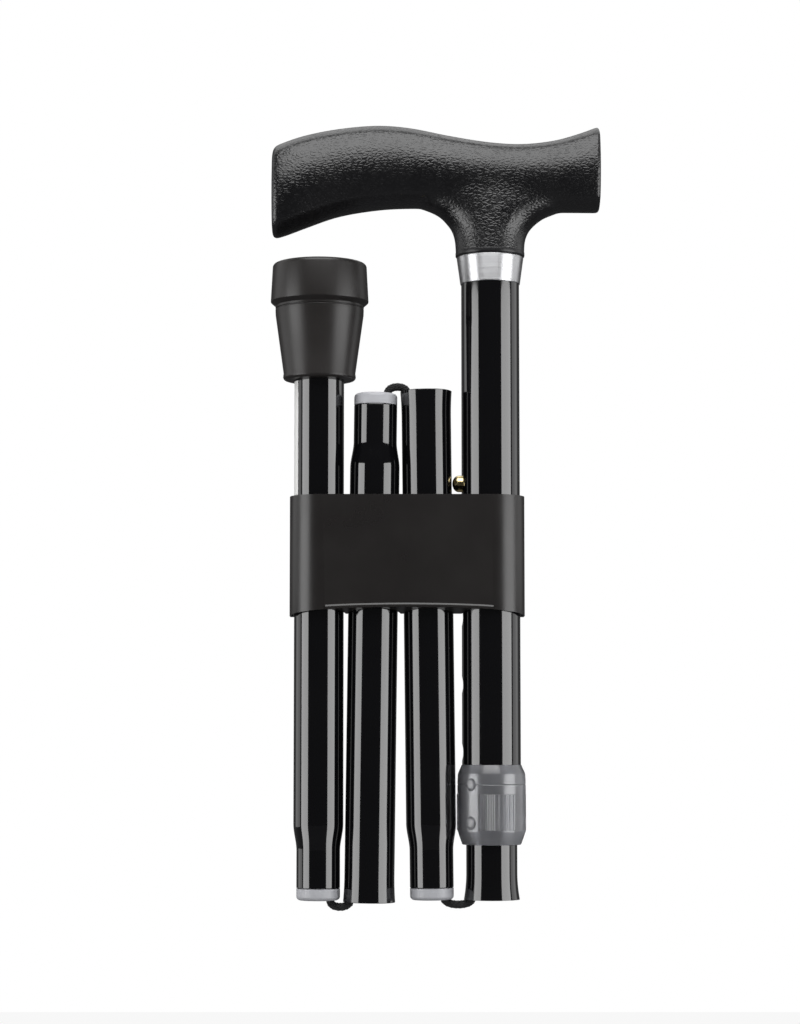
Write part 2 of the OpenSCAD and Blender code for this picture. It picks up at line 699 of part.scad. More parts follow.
handle();
ferrule();
outer_tube();
collet();
lock_nut();
holder();
inner_tube();
glide_bush();
upper_cord_anchor();
snap_button();
button_spring();
cord_run_1();
cord_run_2();
cord_run_3();
cord_run_4();
cord_loop_1();
cord_loop_2();
cord_loop_3();
tube_2();
tube_3();
tube_4();
end_bush_2();
end_bush_3();
end_bush_4();
rubber_tip();
tip_washer();
lower_cord_anchor();
label();
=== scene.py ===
# %% [markdown]
# # Dressing a folding cane
# The cane is already built and packed as a frame of plain solids: four shaft sections folded side by
# side, a grip, a lock nut, a rubber tip and the elastic that ties the sections together. This lesson
# gives each piece the shape and the finish that the eye expects. We work in metres, in the frame's own
# axes, and we never move a solid: a piece that needs a better surface gets a new mesh that stands in
# for it and rides on the body that carries the real piece.

# %% Load the frame
import math

import bmesh
import bpy
from mathutils import Matrix, Vector


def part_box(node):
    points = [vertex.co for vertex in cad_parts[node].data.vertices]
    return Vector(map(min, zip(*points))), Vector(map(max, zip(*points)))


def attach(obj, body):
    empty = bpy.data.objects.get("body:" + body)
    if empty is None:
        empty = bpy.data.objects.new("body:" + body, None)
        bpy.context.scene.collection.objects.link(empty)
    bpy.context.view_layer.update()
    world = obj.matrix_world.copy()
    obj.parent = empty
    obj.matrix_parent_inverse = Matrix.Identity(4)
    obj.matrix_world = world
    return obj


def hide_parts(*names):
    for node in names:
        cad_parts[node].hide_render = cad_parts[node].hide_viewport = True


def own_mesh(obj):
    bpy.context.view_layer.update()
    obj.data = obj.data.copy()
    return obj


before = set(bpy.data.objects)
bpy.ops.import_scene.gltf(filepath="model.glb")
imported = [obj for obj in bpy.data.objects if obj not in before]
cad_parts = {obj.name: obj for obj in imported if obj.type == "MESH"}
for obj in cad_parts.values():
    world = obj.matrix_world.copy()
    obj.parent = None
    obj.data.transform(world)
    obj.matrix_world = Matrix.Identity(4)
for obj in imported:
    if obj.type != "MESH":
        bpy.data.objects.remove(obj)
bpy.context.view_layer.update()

bpy.context.scene.view_settings.view_transform = "Standard"
MM = 0.001


def box_mm(node):
    """Lowest and highest corner of a frame node, in millimetres."""
    low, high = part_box(node)
    return low / MM, high / MM


# %% [markdown]
# ## The camera
# The picture is taken from about a metre away with a long lens, so the tubes look almost parallel. The
# camera stands just above the lock nut's height and is tipped up a little. It could be set by eye, but the
# tubes' spacing gives the distance to the image plane in pixels, so the lens is written as that and
# turned into millimetres for a 36 mm sensor that fits the picture's long side.

# %% Camera
CAMERA_PLACE = (-0.0345, -1.0, -0.2176)
CAMERA_TIP_UP = math.radians(5)
IMAGE_HEIGHT = 1024
IMAGE_DISTANCE = 2640
SENSOR = 36

camera = bpy.data.objects.new("camera", bpy.data.cameras.new("camera"))
camera.data.sensor_width = SENSOR
camera.data.lens = SENSOR * IMAGE_DISTANCE / IMAGE_HEIGHT
camera.location = CAMERA_PLACE
camera.rotation_euler = (math.pi / 2 + CAMERA_TIP_UP, 0, 0)
bpy.context.scene.collection.objects.link(camera)
bpy.context.scene.camera = camera
print("camera lens: %.1f mm" % camera.data.lens)

# %% [markdown]
# ## Light for black gloss
# A black lacquered tube has hardly any colour of its own: it is drawn by what it reflects. Small lamps
# would show on it as dots, so all the lights are large and flat. Two tall softboxes stand to the left
# and right, far enough round that each tube shows one clean stripe on each side and a dark middle.
# Their upper edges stay low, so that the tapers, which lean back, mirror the dark room above. A third
# softbox over the front lights the top of the grip, and a fourth, over the back, draws its crest.

# %% Softboxes
AIM_X = -0.03
SIDE_BEARINGS = {"softbox_left": (-84, -49), "softbox_right": (43, 85)}
SIDE_DISTANCE = 1.2
SIDE_TOP = 0.17
SIDE_FOOT = -0.8
SIDE_RADIANCE = 3.6
TOP_PLACE = Vector((AIM_X, -0.46, 0.59))
TOP_SIZE = (0.9, 0.75)
TOP_RADIANCE = 3.8
BACK_PLACE = Vector((AIM_X, 0.75, 0.8))
BACK_SIZE = (1.1, 0.6)
BACK_RADIANCE = 1.0


def softbox(name, place, aim, width, height, radiance):
    """A flat soft light of an even brightness that looks at a point."""
    lamp = bpy.data.lights.new(name, "AREA")
    lamp.shape = "RECTANGLE"
    lamp.size = width
    lamp.size_y = height
    lamp.energy = radiance * math.pi * width * height
    light = bpy.data.objects.new(name, lamp)
    light.location = place
    light.rotation_euler = (aim - place).to_track_quat("-Z", "Y").to_euler()
    light.visible_camera = False
    bpy.context.scene.collection.objects.link(light)


side_height = SIDE_TOP - SIDE_FOOT
side_aim = Vector((AIM_X, 0, (SIDE_TOP + SIDE_FOOT) / 2))
for name, bearings in SIDE_BEARINGS.items():
    middle = math.radians(sum(bearings) / 2)
    half = math.radians(bearings[1] - bearings[0]) / 2
    place = side_aim + Vector((math.sin(middle), -math.cos(middle), 0)) * SIDE_DISTANCE
    softbox(name, place, side_aim, 2 * SIDE_DISTANCE * math.tan(half), side_height, SIDE_RADIANCE)
grip_aim = Vector((AIM_X, 0, 0))
softbox("softbox_top", TOP_PLACE, grip_aim, *TOP_SIZE, TOP_RADIANCE)
softbox("softbox_back", BACK_PLACE, grip_aim, *BACK_SIZE, BACK_RADIANCE)
print("lights: two side softboxes %.2f m high, one over the front, one over the back" % side_height)

# %% [markdown]
# ## The room around
# Beyond the softboxes the tubes mirror the room. White flats to both sides behind the object give the
# outer tubes their grey rims. They could be boards, but boards would stand in the way of a camera that
# looks from the side, so the world draws them: a ramp of brightness over how far behind the cane a
# direction points. The camera itself sees plain white all round.

# %% World
# Brightness of the studio by how far behind the cane a direction points, where 1 is straight behind
STUDIO_LEVELS = ((0.02, 0.03), (0.05, 0.85), (0.5, 0.85), (0.68, 0.07))
WHITE = (1, 1, 1, 1)


def add(tree, kind, options=None, values=None, links=None):
    """Adds one node with its options, its sockets' values and its incoming links."""
    node = tree.nodes.new(kind)
    for name, value in (options or {}).items():
        setattr(node, name, value)
    for name, value in (values or {}).items():
        node.inputs[name].default_value = value
    for name, socket in (links or {}).items():
        tree.links.new(socket, node.inputs[name])
    return node


world = bpy.data.worlds.new("studio")
bpy.context.scene.world = world
world.use_nodes = True
sky = world.node_tree
sky.nodes.clear()
direction = add(sky, "ShaderNodeTexCoord").outputs["Generated"]
behind = add(sky, "ShaderNodeSeparateXYZ", links={0: direction}).outputs["Y"]
level = add(sky, "ShaderNodeValToRGB", links={0: behind})
stops = level.color_ramp.elements
for number, (place, brightness) in enumerate(STUDIO_LEVELS):
    # A new ramp comes with two stops
    stop = stops[number] if number < 2 else stops.new(place)
    stop.position = place
    stop.color = (brightness, brightness, brightness, 1)
lit = add(sky, "ShaderNodeBackground", links={"Color": level.outputs["Color"]})
seen = add(sky, "ShaderNodeBackground", values={"Color": WHITE})
ray = add(sky, "ShaderNodeLightPath").outputs
straight = add(sky, "ShaderNodeMath", {"operation": "MAXIMUM"},
               links={0: ray["Is Camera Ray"], 1: ray["Is Transmission Ray"]})
both = add(sky, "ShaderNodeMixShader",
           links={0: straight.outputs[0], 1: lit.outputs[0], 2: seen.outputs[0]})
add(sky, "ShaderNodeOutputWorld", links={"Surface": both.outputs[0]})
print("world: a ramp with", len(stops), "stops, white for the camera")

# %% [markdown]
# ## A colour that means what it says
# Colours are written as the screen shows them, as hex. The shader wants linear light, so one function
# turns the one into the other. A second helper opens a material with its shader and the piece's own
# coordinates, in metres, so that a pattern's scale is one over its real size. Every finish then leads
# one pattern each into its colour, its roughness and its relief, and a third helper does that.

# %% Material helpers
# Noise seldom leaves this range, so a finish is spread over it
NOISE_SPREAD = (0.3, 0.7)


def ink(code):
    """Linear colour of an sRGB hex code."""
    channels = [int(code[k:k + 2], 16) / 255 for k in (1, 3, 5)]
    return [c / 12.92 if c <= 0.04045 else ((c + 0.055) / 1.055) ** 2.4 for c in channels] + [1]


def per_mm(size):
    """Scale of a pattern whose repeat is that many millimetres."""
    return 1 / (size * MM)


def open_material(name, **sockets):
    """A material with one shader, its plain values set, and the piece's own coordinates."""
    material = bpy.data.materials.new(name)
    material.use_nodes = True
    tree = material.node_tree
    tree.nodes.clear()
    shader = add(tree, "ShaderNodeBsdfPrincipled")
    for socket, value in sockets.items():
        shader.inputs[socket.replace("_", " ")].default_value = value
    add(tree, "ShaderNodeOutputMaterial", links={"Surface": shader.outputs["BSDF"]})
    return material, tree, shader, add(tree, "ShaderNodeTexCoord").outputs["Object"]


def lay_on(tree, shader, tone, dark, light, wear, roughness, relief, strength, depth_mm,
           spread=NOISE_SPREAD):
    """Leads a tone into the colour, a wear pattern into the roughness and a height into the relief."""
    colour = add(tree, "ShaderNodeMix", {"data_type": "RGBA"}, {6: ink(dark), 7: ink(light)}, {0: tone})
    gloss = add(tree, "ShaderNodeMapRange", links={0: wear},
                values={1: spread[0], 2: spread[1], 3: roughness[0], 4: roughness[1]})
    bump = add(tree, "ShaderNodeBump", values={"Strength": strength, "Distance": depth_mm * MM},
               links={"Height": relief})
    tree.links.new(colour.outputs[2], shader.inputs["Base Color"])
    tree.links.new(gloss.outputs[0], shader.inputs["Roughness"])
    tree.links.new(bump.outputs[0], shader.inputs["Normal"])


print("a middle grey of #808080 is %.3f in linear light" % ink("#808080")[0])

# %% [markdown]
# ## The floor
# Far below the cane, clear of its tip at the longest setting, lies a sheet of backdrop paper. It could be
# lit until it turns white, but then the same light would wash out the tubes. So the paper keeps a mid
# grey for the light that it throws back, and mixes in a plain white glow for the camera alone.

# %% Floor
FLOOR_DROP = -1.12
FLOOR_SIZE = 16
FIBRE_MM = 25
FLOOR_GLOW = 0.93
# Matt paper: the eye gets an even near white with hardly any cloud in it
floor_paper, tree, shader, place = open_material("paper_backdrop_matt", Roughness=0.9)
fibre = add(tree, "ShaderNodeTexNoise", values={"Scale": per_mm(FIBRE_MM), "Detail": 4.0},
            links={"Vector": place})
tone = add(tree, "ShaderNodeMix", {"data_type": "RGBA"}, {6: ink("#68686a"), 7: ink("#707072")},
           {0: fibre.outputs["Fac"]})
tree.links.new(tone.outputs[2], shader.inputs["Base Color"])
eye = add(tree, "ShaderNodeLightPath").outputs["Is Camera Ray"]
share = add(tree, "ShaderNodeMath", {"operation": "MULTIPLY"}, {1: FLOOR_GLOW}, {0: eye})
white = add(tree, "ShaderNodeEmission", values={"Color": WHITE, "Strength": 1.0})
shown = add(tree, "ShaderNodeMixShader",
            links={0: share.outputs[0], 1: shader.outputs[0], 2: white.outputs[0]})
tree.links.new(shown.outputs[0], tree.get_output_node("ALL").inputs["Surface"])
bpy.ops.object.select_all(action="DESELECT")
bpy.ops.mesh.primitive_plane_add(size=FLOOR_SIZE, location=(0, 0, FLOOR_DROP))
floor = bpy.context.object
floor.name = "floor"
bpy.ops.object.transform_apply(location=True)
floor.data.materials.append(floor_paper)
print("floor at %.2f m, under the cane at its longest" % FLOOR_DROP)

# %% [markdown]
# ## The grip's leather grain
# The grip is soft plastic from a mould whose wall carries a leather grain. The pebbles could be modelled,
# but there are thousands of them, so they are relief in the finish: cells of a Voronoi pattern, longer
# than wide, bent by noise so that no two are alike. The creases between them are painted darker, as
# painted shade, and the gloss comes and goes in broad patches, as where hands have rubbed it.

# %% Grip: moulded soft plastic with a leather grain
GRAIN_MM = (2.0, 1.5, 1.15)
GRAIN_SWAY_MM = 1.3
SWAY_REPEAT_MM = 2.2
GRAIN_DEPTH_MM = 0.065
GRAIN_STRENGTH = 1.0
CREASE_SHARE = 0.32
PORE_MM = 0.5
PORE_SHARE = 0.12
WEAR_MM = 18
GRIP_ROUGHNESS = (0.26, 0.35)


def leather_grain():
    """Soft PVC moulded in a leather-grained tool."""
    # Satin pebbles catch the softboxes as many small lights, between creases painted darker as painted shade
    material, tree, shader, place = open_material("pvc_moulded_leather_grain", IOR=1.62)
    sway = add(tree, "ShaderNodeTexNoise", values={"Scale": per_mm(SWAY_REPEAT_MM), "Detail": 2.0},
               links={"Vector": place})
    bent = add(tree, "ShaderNodeVectorMath", {"operation": "MULTIPLY_ADD"},
               {1: (GRAIN_SWAY_MM * MM,) * 3}, {0: sway.outputs["Color"], 2: place})
    laid = add(tree, "ShaderNodeMapping", values={"Scale": [per_mm(size) for size in GRAIN_MM]},
               links={"Vector": bent.outputs[0]})
    cells = add(tree, "ShaderNodeTexVoronoi", {"feature": "DISTANCE_TO_EDGE"}, {"Scale": 1.0},
                {"Vector": laid.outputs[0]})
    pebble = add(tree, "ShaderNodeMapRange", {"interpolation_type": "SMOOTHSTEP"},
                 {1: 0.0, 2: CREASE_SHARE, 3: 0.0, 4: 1.0}, {0: cells.outputs["Distance"]})
    pores = add(tree, "ShaderNodeTexNoise", values={"Scale": per_mm(PORE_MM), "Detail": 2.0},
                links={"Vector": place})
    height = add(tree, "ShaderNodeMath", {"operation": "MULTIPLY_ADD"}, {1: PORE_SHARE},
                 {0: pores.outputs["Fac"], 2: pebble.outputs[0]})
    wear = add(tree, "ShaderNodeTexNoise", values={"Scale": per_mm(WEAR_MM), "Detail": 3.0},
               links={"Vector": place})
    # Tone from the pebble pattern: the creases get the darker colour, as painted shade
    lay_on(tree, shader, pebble.outputs[0], "#08080a", "#101012", wear.outputs["Fac"], GRIP_ROUGHNESS,
           height.outputs[0], GRAIN_STRENGTH, GRAIN_DEPTH_MM)
    return material


grip_grain = leather_grain()
print("finish:", grip_grain.name, "with pebbles of", GRAIN_MM[0], "by", GRAIN_MM[2], "mm")

# %% [markdown]
# ## Black lacquer for the tubes
# The tubes are drawn aluminium under a stoved black lacquer. One glossy black would do from afar, but a
# perfect mirror looks drawn. A faint orange peel lets the stripes of light waver, a haze that comes and
# goes softens them here and there, and a clear coat on top keeps their edges crisp.

# %% Tubes: black stoved lacquer on aluminium
# Real orange peel repeats every millimetre or two: it is drawn coarser, to show in the stripes
PEEL_MM = 4.0
PEEL_DEPTH_MM = 0.004
PEEL_STRENGTH = 0.2
HAZE_MM = 25
HAZE_SPREAD = (0.3, 0.8)
LACQUER_ROUGHNESS = (0.05, 0.12)


def black_lacquer():
    """Aluminium tube in black stoved lacquer."""
    # Deep gloss: the eye sees black, with white stripes that the softboxes draw
    material, tree, shader, place = open_material(
        "aluminium_black_lacquer", IOR=1.5, Coat_Weight=1.0, Coat_Roughness=0.035, Coat_IOR=1.5)
    peel = add(tree, "ShaderNodeTexNoise", values={"Scale": per_mm(PEEL_MM), "Detail": 1.0},
               links={"Vector": place})
    haze = add(tree, "ShaderNodeTexNoise", values={"Scale": per_mm(HAZE_MM), "Detail": 4.0},
               links={"Vector": place})
    lay_on(tree, shader, haze.outputs["Fac"], "#08080a", "#0d0d0f", haze.outputs["Fac"],
           LACQUER_ROUGHNESS, peel.outputs["Fac"], PEEL_STRENGTH, PEEL_DEPTH_MM, HAZE_SPREAD)
    return material


tube_lacquer = black_lacquer()
print("finish:", tube_lacquer.name)

# %% [markdown]
# ## Bare metals
# The ferrule comes off a lathe, and its tool lines run round it. The spring is rolled, the washer plated
# and the button pressed. A metal could be one grey mirror, but the lines are what the eye knows it by, so
# a noise is drawn out along them, and on the ferrule the highlight is drawn out across them as well.
# Real lines are finer than a pixel, so they are drawn half a millimetre wide or more, to show.

# %% Ferrule, spring, washer and button
RING_STRETCH = (0.02, 0.02, 1.0)
STREAK_STRETCH = (1.0, 0.05, 0.05)
LINE_RELIEF_MM = 0.02
LINE_STRENGTH = 0.25
# Shares of a metal's roughness in and between its lines
LINE_ROUGHNESS = (0.8, 1.3)
RING_SHEEN = 0.8
QUARTER_TURN = 0.25


def turned_metal(name, light, dark, roughness, line_mm, upright):
    """Metal with fine tool lines: rings round an upright piece, and streaks elsewhere."""
    material, tree, shader, place = open_material(name, Metallic=1.0)
    if upright:
        shader.inputs["Anisotropic"].default_value = RING_SHEEN
        shader.inputs["Anisotropic Rotation"].default_value = QUARTER_TURN
        around = add(tree, "ShaderNodeTangent", {"direction_type": "RADIAL", "axis": "Z"})
        tree.links.new(around.outputs[0], shader.inputs["Tangent"])
    laid = add(tree, "ShaderNodeMapping", values={"Scale": RING_STRETCH if upright else STREAK_STRETCH},
               links={"Vector": place})
    lines = add(tree, "ShaderNodeTexNoise", values={"Scale": per_mm(line_mm), "Detail": 3.0},
                links={"Vector": laid.outputs[0]})
    lay_on(tree, shader, lines.outputs["Fac"], dark, light, lines.outputs["Fac"],
           [roughness * share for share in LINE_ROUGHNESS], lines.outputs["Fac"], LINE_STRENGTH,
           LINE_RELIEF_MM)
    return material


# Turned aluminium: bright and silky, with soft upright bands of light
ferrule_metal = turned_metal("aluminium_turned_bright", "#ececee", "#d6d7d9", 0.4, 0.5, True)
# Rolled spring steel: cool grey with fine streaks
spring_metal = turned_metal("spring_steel_rolled", "#b9bcc0", "#9a9da2", 0.3, 0.6, False)
# Zinc plate: a paler, duller grey
washer_metal = turned_metal("steel_zinc_plated", "#c2c4c8", "#a8abb0", 0.35, 0.8, False)
# Pressed brass: pale gold, smooth, with one clear light on its dome
button_metal = turned_metal("brass_pressed_dome", "#ecdaa6", "#d6c088", 0.2, 1.2, False)
print("finishes: turned aluminium, rolled steel, zinc plate and brass")

# %% [markdown]
# ## Moulded plastics, rubber, film and yarn
# What comes out of a mould has no lines and no grain of its own: only a tone that drifts a little and a
# fine grit from the tool's wall. One recipe serves them all, with the colour, gloss and grit of each, and
# it does for the label's film and the elastic's yarn too. The clear ones let light through. Real grit is
# too fine for the render, so it is drawn several times as coarse, to show.

# %% Moulded plastics, rubber, film and yarn
DRIFT_MM = 22
ROUGHNESS_DRIFT = 0.12
GRIT_STRENGTH = 0.5


def moulded(name, light, dark, roughness, grit_mm, depth_mm, **sockets):
    """Injection-moulded surface: a tone that drifts a little and a fine grit from the tool."""
    material, tree, shader, place = open_material(name, **sockets)
    drift = add(tree, "ShaderNodeTexNoise", values={"Scale": per_mm(DRIFT_MM), "Detail": 3.0},
                links={"Vector": place})
    grit = add(tree, "ShaderNodeTexNoise", values={"Scale": per_mm(grit_mm), "Detail": 2.0},
               links={"Vector": place})
    lay_on(tree, shader, drift.outputs["Fac"], dark, light, drift.outputs["Fac"],
           (roughness * (1 - ROUGHNESS_DRIFT), roughness * (1 + ROUGHNESS_DRIFT)),
           grit.outputs["Fac"], GRIT_STRENGTH, depth_mm)
    return material


# ABS from a polished mould: near black, with a broad even sheen
holder_plastic = moulded("abs_moulded_black", "#252322", "#1d1b1b", 0.3, 0.6, 0.025, IOR=1.54)
# The grip's plastic without its grain: a smooth dark rim with one thin line of light
rim_plastic = moulded("pvc_moulded_smooth", "#1b1b1d", "#151517", 0.34, 0.8, 0.01, IOR=1.5)
# Acetal: a waxy pale grey that looks soft beside the gloss
bush_plastic = moulded("acetal_moulded_pale", "#bbbcc0", "#b0b1b6", 0.4, 0.7, 0.01, IOR=1.48)
# Acetal without pigment: a waxy white
glide_plastic = moulded("acetal_moulded_white", "#e2e2de", "#d6d6d2", 0.42, 0.7, 0.01, IOR=1.48)
# Nylon: a dull mid grey
anchor_plastic = moulded("nylon_moulded_grey", "#5b5d60", "#505255", 0.5, 0.7, 0.02, IOR=1.53)
# Smoky nylon, half clear: it darkens the nut from inside and gives it depth
collet_plastic = moulded("nylon_moulded_smoke", "#4e5056", "#44464c", 0.25, 0.7, 0.01, IOR=1.53,
                         Transmission_Weight=0.92)
# Rubber: warm charcoal with a soft, wide sheen on its edges
tip_rubber = moulded("rubber_moulded_charcoal", "#242120", "#1d1b1a", 0.35, 0.9, 0.02, IOR=1.52)
# Vinyl film: flat white, a little shiny
label_film = moulded("vinyl_printed_blank", "#f4f4f2", "#eeeeec", 0.35, 1.5, 0.004, IOR=1.5)
# Braided yarn: dull black with a breath of light on the fibres
elastic_yarn = moulded("elastic_braided_black", "#1b1b1c", "#0f0f10", 0.75, 0.25, 0.03, IOR=1.5,
                       Sheen_Weight=0.15)
# Clear polycarbonate, slightly frosted: grey from what lies behind it, bright on its edges
nut_plastic = moulded("polycarbonate_moulded_clear", "#d2d3d8", "#c8c9cf", 0.32, 1.2, 0.006, IOR=1.58,
                      Transmission_Weight=0.92, Coat_Weight=0.8, Coat_Roughness=0.14, Coat_IOR=1.5)
print("finishes: ten moulded or woven ones")

# %% [markdown]
# ## Two ways to make a shape
# Most of the cane is turned: a profile spun round an axis. We draw the profile as one would by hand,
# point after point, by extruding a vertex, and then spin it. The points of round stretches come from
# small curve functions. The other way is to start from a primitive, and to cut or fuse it with others.
# A finished piece is given its finish and the body that carries it, and the solid that it stands for is
# hidden, all in one place.

# %% Helpers that pick, cut and smooth
MERGE_MM = 0.002


def activate(piece):
    """Makes one piece the only selected and the active one."""
    bpy.ops.object.select_all(action="DESELECT")
    piece.select_set(True)
    bpy.context.view_layer.objects.active = piece


def edit_all(piece):
    """Opens a piece in edit mode with all of it selected."""
    activate(piece)
    bpy.ops.object.mode_set(mode="EDIT")
    bpy.ops.mesh.select_all(action="SELECT")


def start_with(primitive, **sizes):
    """Adds a primitive with nothing else selected."""
    bpy.ops.object.select_all(action="DESELECT")
    primitive(**sizes)
    return bpy.context.object


def apply_modifier(piece, kind, **settings):
    """Adds a modifier with its settings and applies it."""
    activate(piece)
    modifier = piece.modifiers.new(kind.lower(), kind)
    for name, value in settings.items():
        setattr(modifier, name, value)
    bpy.ops.object.modifier_apply(modifier=modifier.name)


def combine(piece, operation, *tools):
    """Cuts each tool out of a piece, or fuses it on, and removes the tool."""
    for tool in tools:
        apply_modifier(piece, "BOOLEAN", operation=operation, solver="EXACT", object=tool)
        bpy.data.objects.remove(tool)


def clean(piece, smooth_angle=30):
    """Merges doubles, turns the faces outwards and smooths all but the sharp edges."""
    edit_all(piece)
    bpy.ops.mesh.remove_doubles(threshold=MERGE_MM * MM)
    bpy.ops.mesh.normals_make_consistent(inside=False)
    bpy.ops.object.mode_set(mode="OBJECT")
    bpy.ops.object.shade_smooth_by_angle(angle=math.radians(smooth_angle))


print("doubles closer than", MERGE_MM, "mm are merged")

# %% Helpers that turn a profile
def arc(middle, radii, start, stop, steps):
    """Points of an elliptical arc round a (radius, height) middle, from one angle to another."""
    points = []
    for k in range(steps + 1):
        angle = math.radians(start + (stop - start) * k / steps)
        points.append((middle[0] + radii[0] * math.cos(angle), middle[1] + radii[1] * math.sin(angle)))
    return points


def draw_profile(name, points):
    """An open line through points, in metres, made by extruding one vertex along them."""
    piece = start_with(bpy.ops.mesh.primitive_plane_add, size=MM, location=points[0])
    piece.name = name
    bpy.ops.object.transform_apply(location=True)
    bpy.ops.object.mode_set(mode="EDIT")
    bpy.ops.mesh.merge(type="CENTER")
    for a, b in zip(points, points[1:]):
        bpy.ops.mesh.extrude_region_move(TRANSFORM_OT_translate={"value": b - a})
    bpy.ops.object.mode_set(mode="OBJECT")
    return piece


def turn(name, profile, steps=128, smooth_angle=35):
    """Spins a closed profile of (radius, height) points, in millimetres, round the Z axis."""
    closed = profile + profile[:1] if profile[0][0] > 0 else profile
    piece = draw_profile(name, [Vector((r, 0, z)) * MM for r, z in closed])
    edit_all(piece)
    bpy.ops.mesh.spin(steps=steps, angle=2 * math.pi, center=(0, 0, 0), axis=(0, 0, 1))
    bpy.ops.object.mode_set(mode="OBJECT")
    clean(piece, smooth_angle)
    return piece


def put(piece, start, towards):
    """Lays a piece turned at the origin so that it starts at a point and its +Z runs along a direction."""
    activate(piece)
    laid = Vector((0, 0, 1)).rotation_difference(towards).to_matrix().to_4x4()
    piece.matrix_world = Matrix.Translation(start * MM) @ laid
    bpy.ops.object.transform_apply(location=True, rotation=True, scale=True)


print("a quarter turn in six steps has", len(arc((0, 0), (1, 1), 0, 90, 6)), "points")

# %% Helper that dresses a piece
dressed = []


def dress(piece, finish, slot, body, *nodes):
    """Gives a piece its finish and the body that carries it, and hides the solids it stands for; slot is not
    used.
    """
    piece.data.materials.clear()
    piece.data.materials.append(finish)
    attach(piece, body)
    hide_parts(*nodes)
    dressed.append(piece.name)
    print("piece:", piece.name, "on", body, "with", len(piece.data.polygons), "faces")


print("pieces dressed so far:", len(dressed))

# %% [markdown]
# ## The upper tube
# The upper tube is drawn aluminium with a row of height holes down the side that faces the bundle. The
# holes could be painted on as dark discs, but light falls into real ones. So they are drilled with a
# boolean, and a small bevel breaks the edges that drilling leaves sharp.

# %% Upper tube with its height holes
TUBE_WALL = 1.2
HOLE_D = 6.6
HOLE_PITCH = 25.4
HOLE_COUNT = 5
EDGE_BREAK = 0.2
shaft_low, shaft_high = box_mm("outer_tube")
shaft_r = shaft_high.y
button_low, button_high = box_mm("snap_button")
button_z = (button_low.z + button_high.z) / 2


def drill(z):
    """A bar through the left wall of the shaft at a height."""
    return start_with(bpy.ops.mesh.primitive_cylinder_add, vertices=48, radius=HOLE_D / 2 * MM,
                      depth=shaft_r * MM, rotation=(0, math.pi / 2, 0),
                      location=(-shaft_r * MM, 0, z * MM))


def break_edges(piece, width, angle, segments=2):
    """Bevels the edges of a piece that turn by more than an angle."""
    apply_modifier(piece, "BEVEL", width=width * MM, segments=segments, limit_method="ANGLE",
                   angle_limit=math.radians(angle))


upper_tube = turn("upper_tube", [
    (shaft_r - TUBE_WALL, shaft_low.z), (shaft_r, shaft_low.z),
    (shaft_r, shaft_high.z), (shaft_r - TUBE_WALL, shaft_high.z)])
combine(upper_tube, "DIFFERENCE", *[drill(button_z - k * HOLE_PITCH) for k in range(HOLE_COUNT)])
break_edges(upper_tube, EDGE_BREAK, angle=40)
clean(upper_tube)
dress(upper_tube, tube_lacquer, "tube_black", "upper", "outer_tube")

# %% [markdown]
# ## The lower tube
# The lower tube slides in the upper one and ends in a flared mouth that takes the next section's plug
# end. A cone would do for the flare, but its edge would break the stripe of light. The flare is a
# parabola in the profile, so the stripe bends smoothly over it.

# %% Lower tube with its flared mouth
INNER_R = 9.6
FLARE_LEN = 10
FLARE_STEPS = 12
MOUTH_LEAD = 0.45
inner_low, inner_high = box_mm("inner_tube")


def flare(r, mouth_r, mouth_z, up):
    """Points from a straight tube out to its mouth, which lies up or down the axis."""
    steps = [k / FLARE_STEPS for k in range(FLARE_STEPS + 1)]
    return [(r + (mouth_r - r) * t * t, mouth_z - up * FLARE_LEN * (1 - t)) for t in steps]


inner_bore = INNER_R - TUBE_WALL
lower_tube = turn("lower_tube", [(inner_bore, inner_high.z), (INNER_R, inner_high.z)]
                  + flare(INNER_R, inner_high.y, inner_low.z, -1)
                  + flare(inner_bore, inner_bore + MOUTH_LEAD, inner_low.z, -1)[::-1])
combine(lower_tube, "DIFFERENCE", drill(button_z))
break_edges(lower_tube, EDGE_BREAK, angle=40)
clean(lower_tube)
dress(lower_tube, tube_lacquer, "tube_black", "inner", "inner_tube")

# %% [markdown]
# ## The folding sections
# Each section is a thinner tube with one end swaged down to a plug. The other end is flared to a mouth,
# except on the fourth, where it stands in the rubber tip. The sections may lean a little in the bundle.
# They could be turned in place, round a leaning axis, but it is plainer to turn each upright at the
# origin and then lay it along its own axis, which we read from the middles of the solid's two ends.

# %% Section tubes
SECTION_R = 9.4
SECTION_WALL = 1.0
PLUG_R = 8.2
BUSH_H = 4.6
PLUG_LEN = 18.5
TAPER_LEN = 10
SECTION_MOUTH_R = 9.8
END_BAND = 0.4


def end_middle(node, top):
    """Middle of a tube solid's top or foot face, in millimetres."""
    points = [v.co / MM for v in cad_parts[node].data.vertices]
    edge = max(p.z for p in points) if top else min(p.z for p in points)
    ring = [p for p in points if abs(p.z - edge) < END_BAND]
    return Vector(((min(p.x for p in ring) + max(p.x for p in ring)) / 2, 0, edge))


def swage(r, full_r):
    """Smooth step in a profile from the plug's radius to the full one."""
    steps = [k / FLARE_STEPS for k in range(FLARE_STEPS + 1)]
    return [(r + (full_r - r) * t * t * (3 - 2 * t), PLUG_LEN + TAPER_LEN * t) for t in steps]


def section_profile(length, with_mouth):
    """Outside up and bore down again, with the plug end's bush at height 0."""
    bore_r = SECTION_R - SECTION_WALL
    outside, inside = [(SECTION_R, length)], [(bore_r, length)]
    if with_mouth:
        outside = flare(SECTION_R, SECTION_MOUTH_R, length, 1)
        inside = flare(bore_r, bore_r + MOUTH_LEAD, length, 1)[::-1]
    plug_bore = PLUG_R - SECTION_WALL
    return ([(PLUG_R, BUSH_H)] + swage(PLUG_R, SECTION_R) + outside + inside
            + swage(plug_bore, bore_r)[::-1] + [(plug_bore, BUSH_H)])


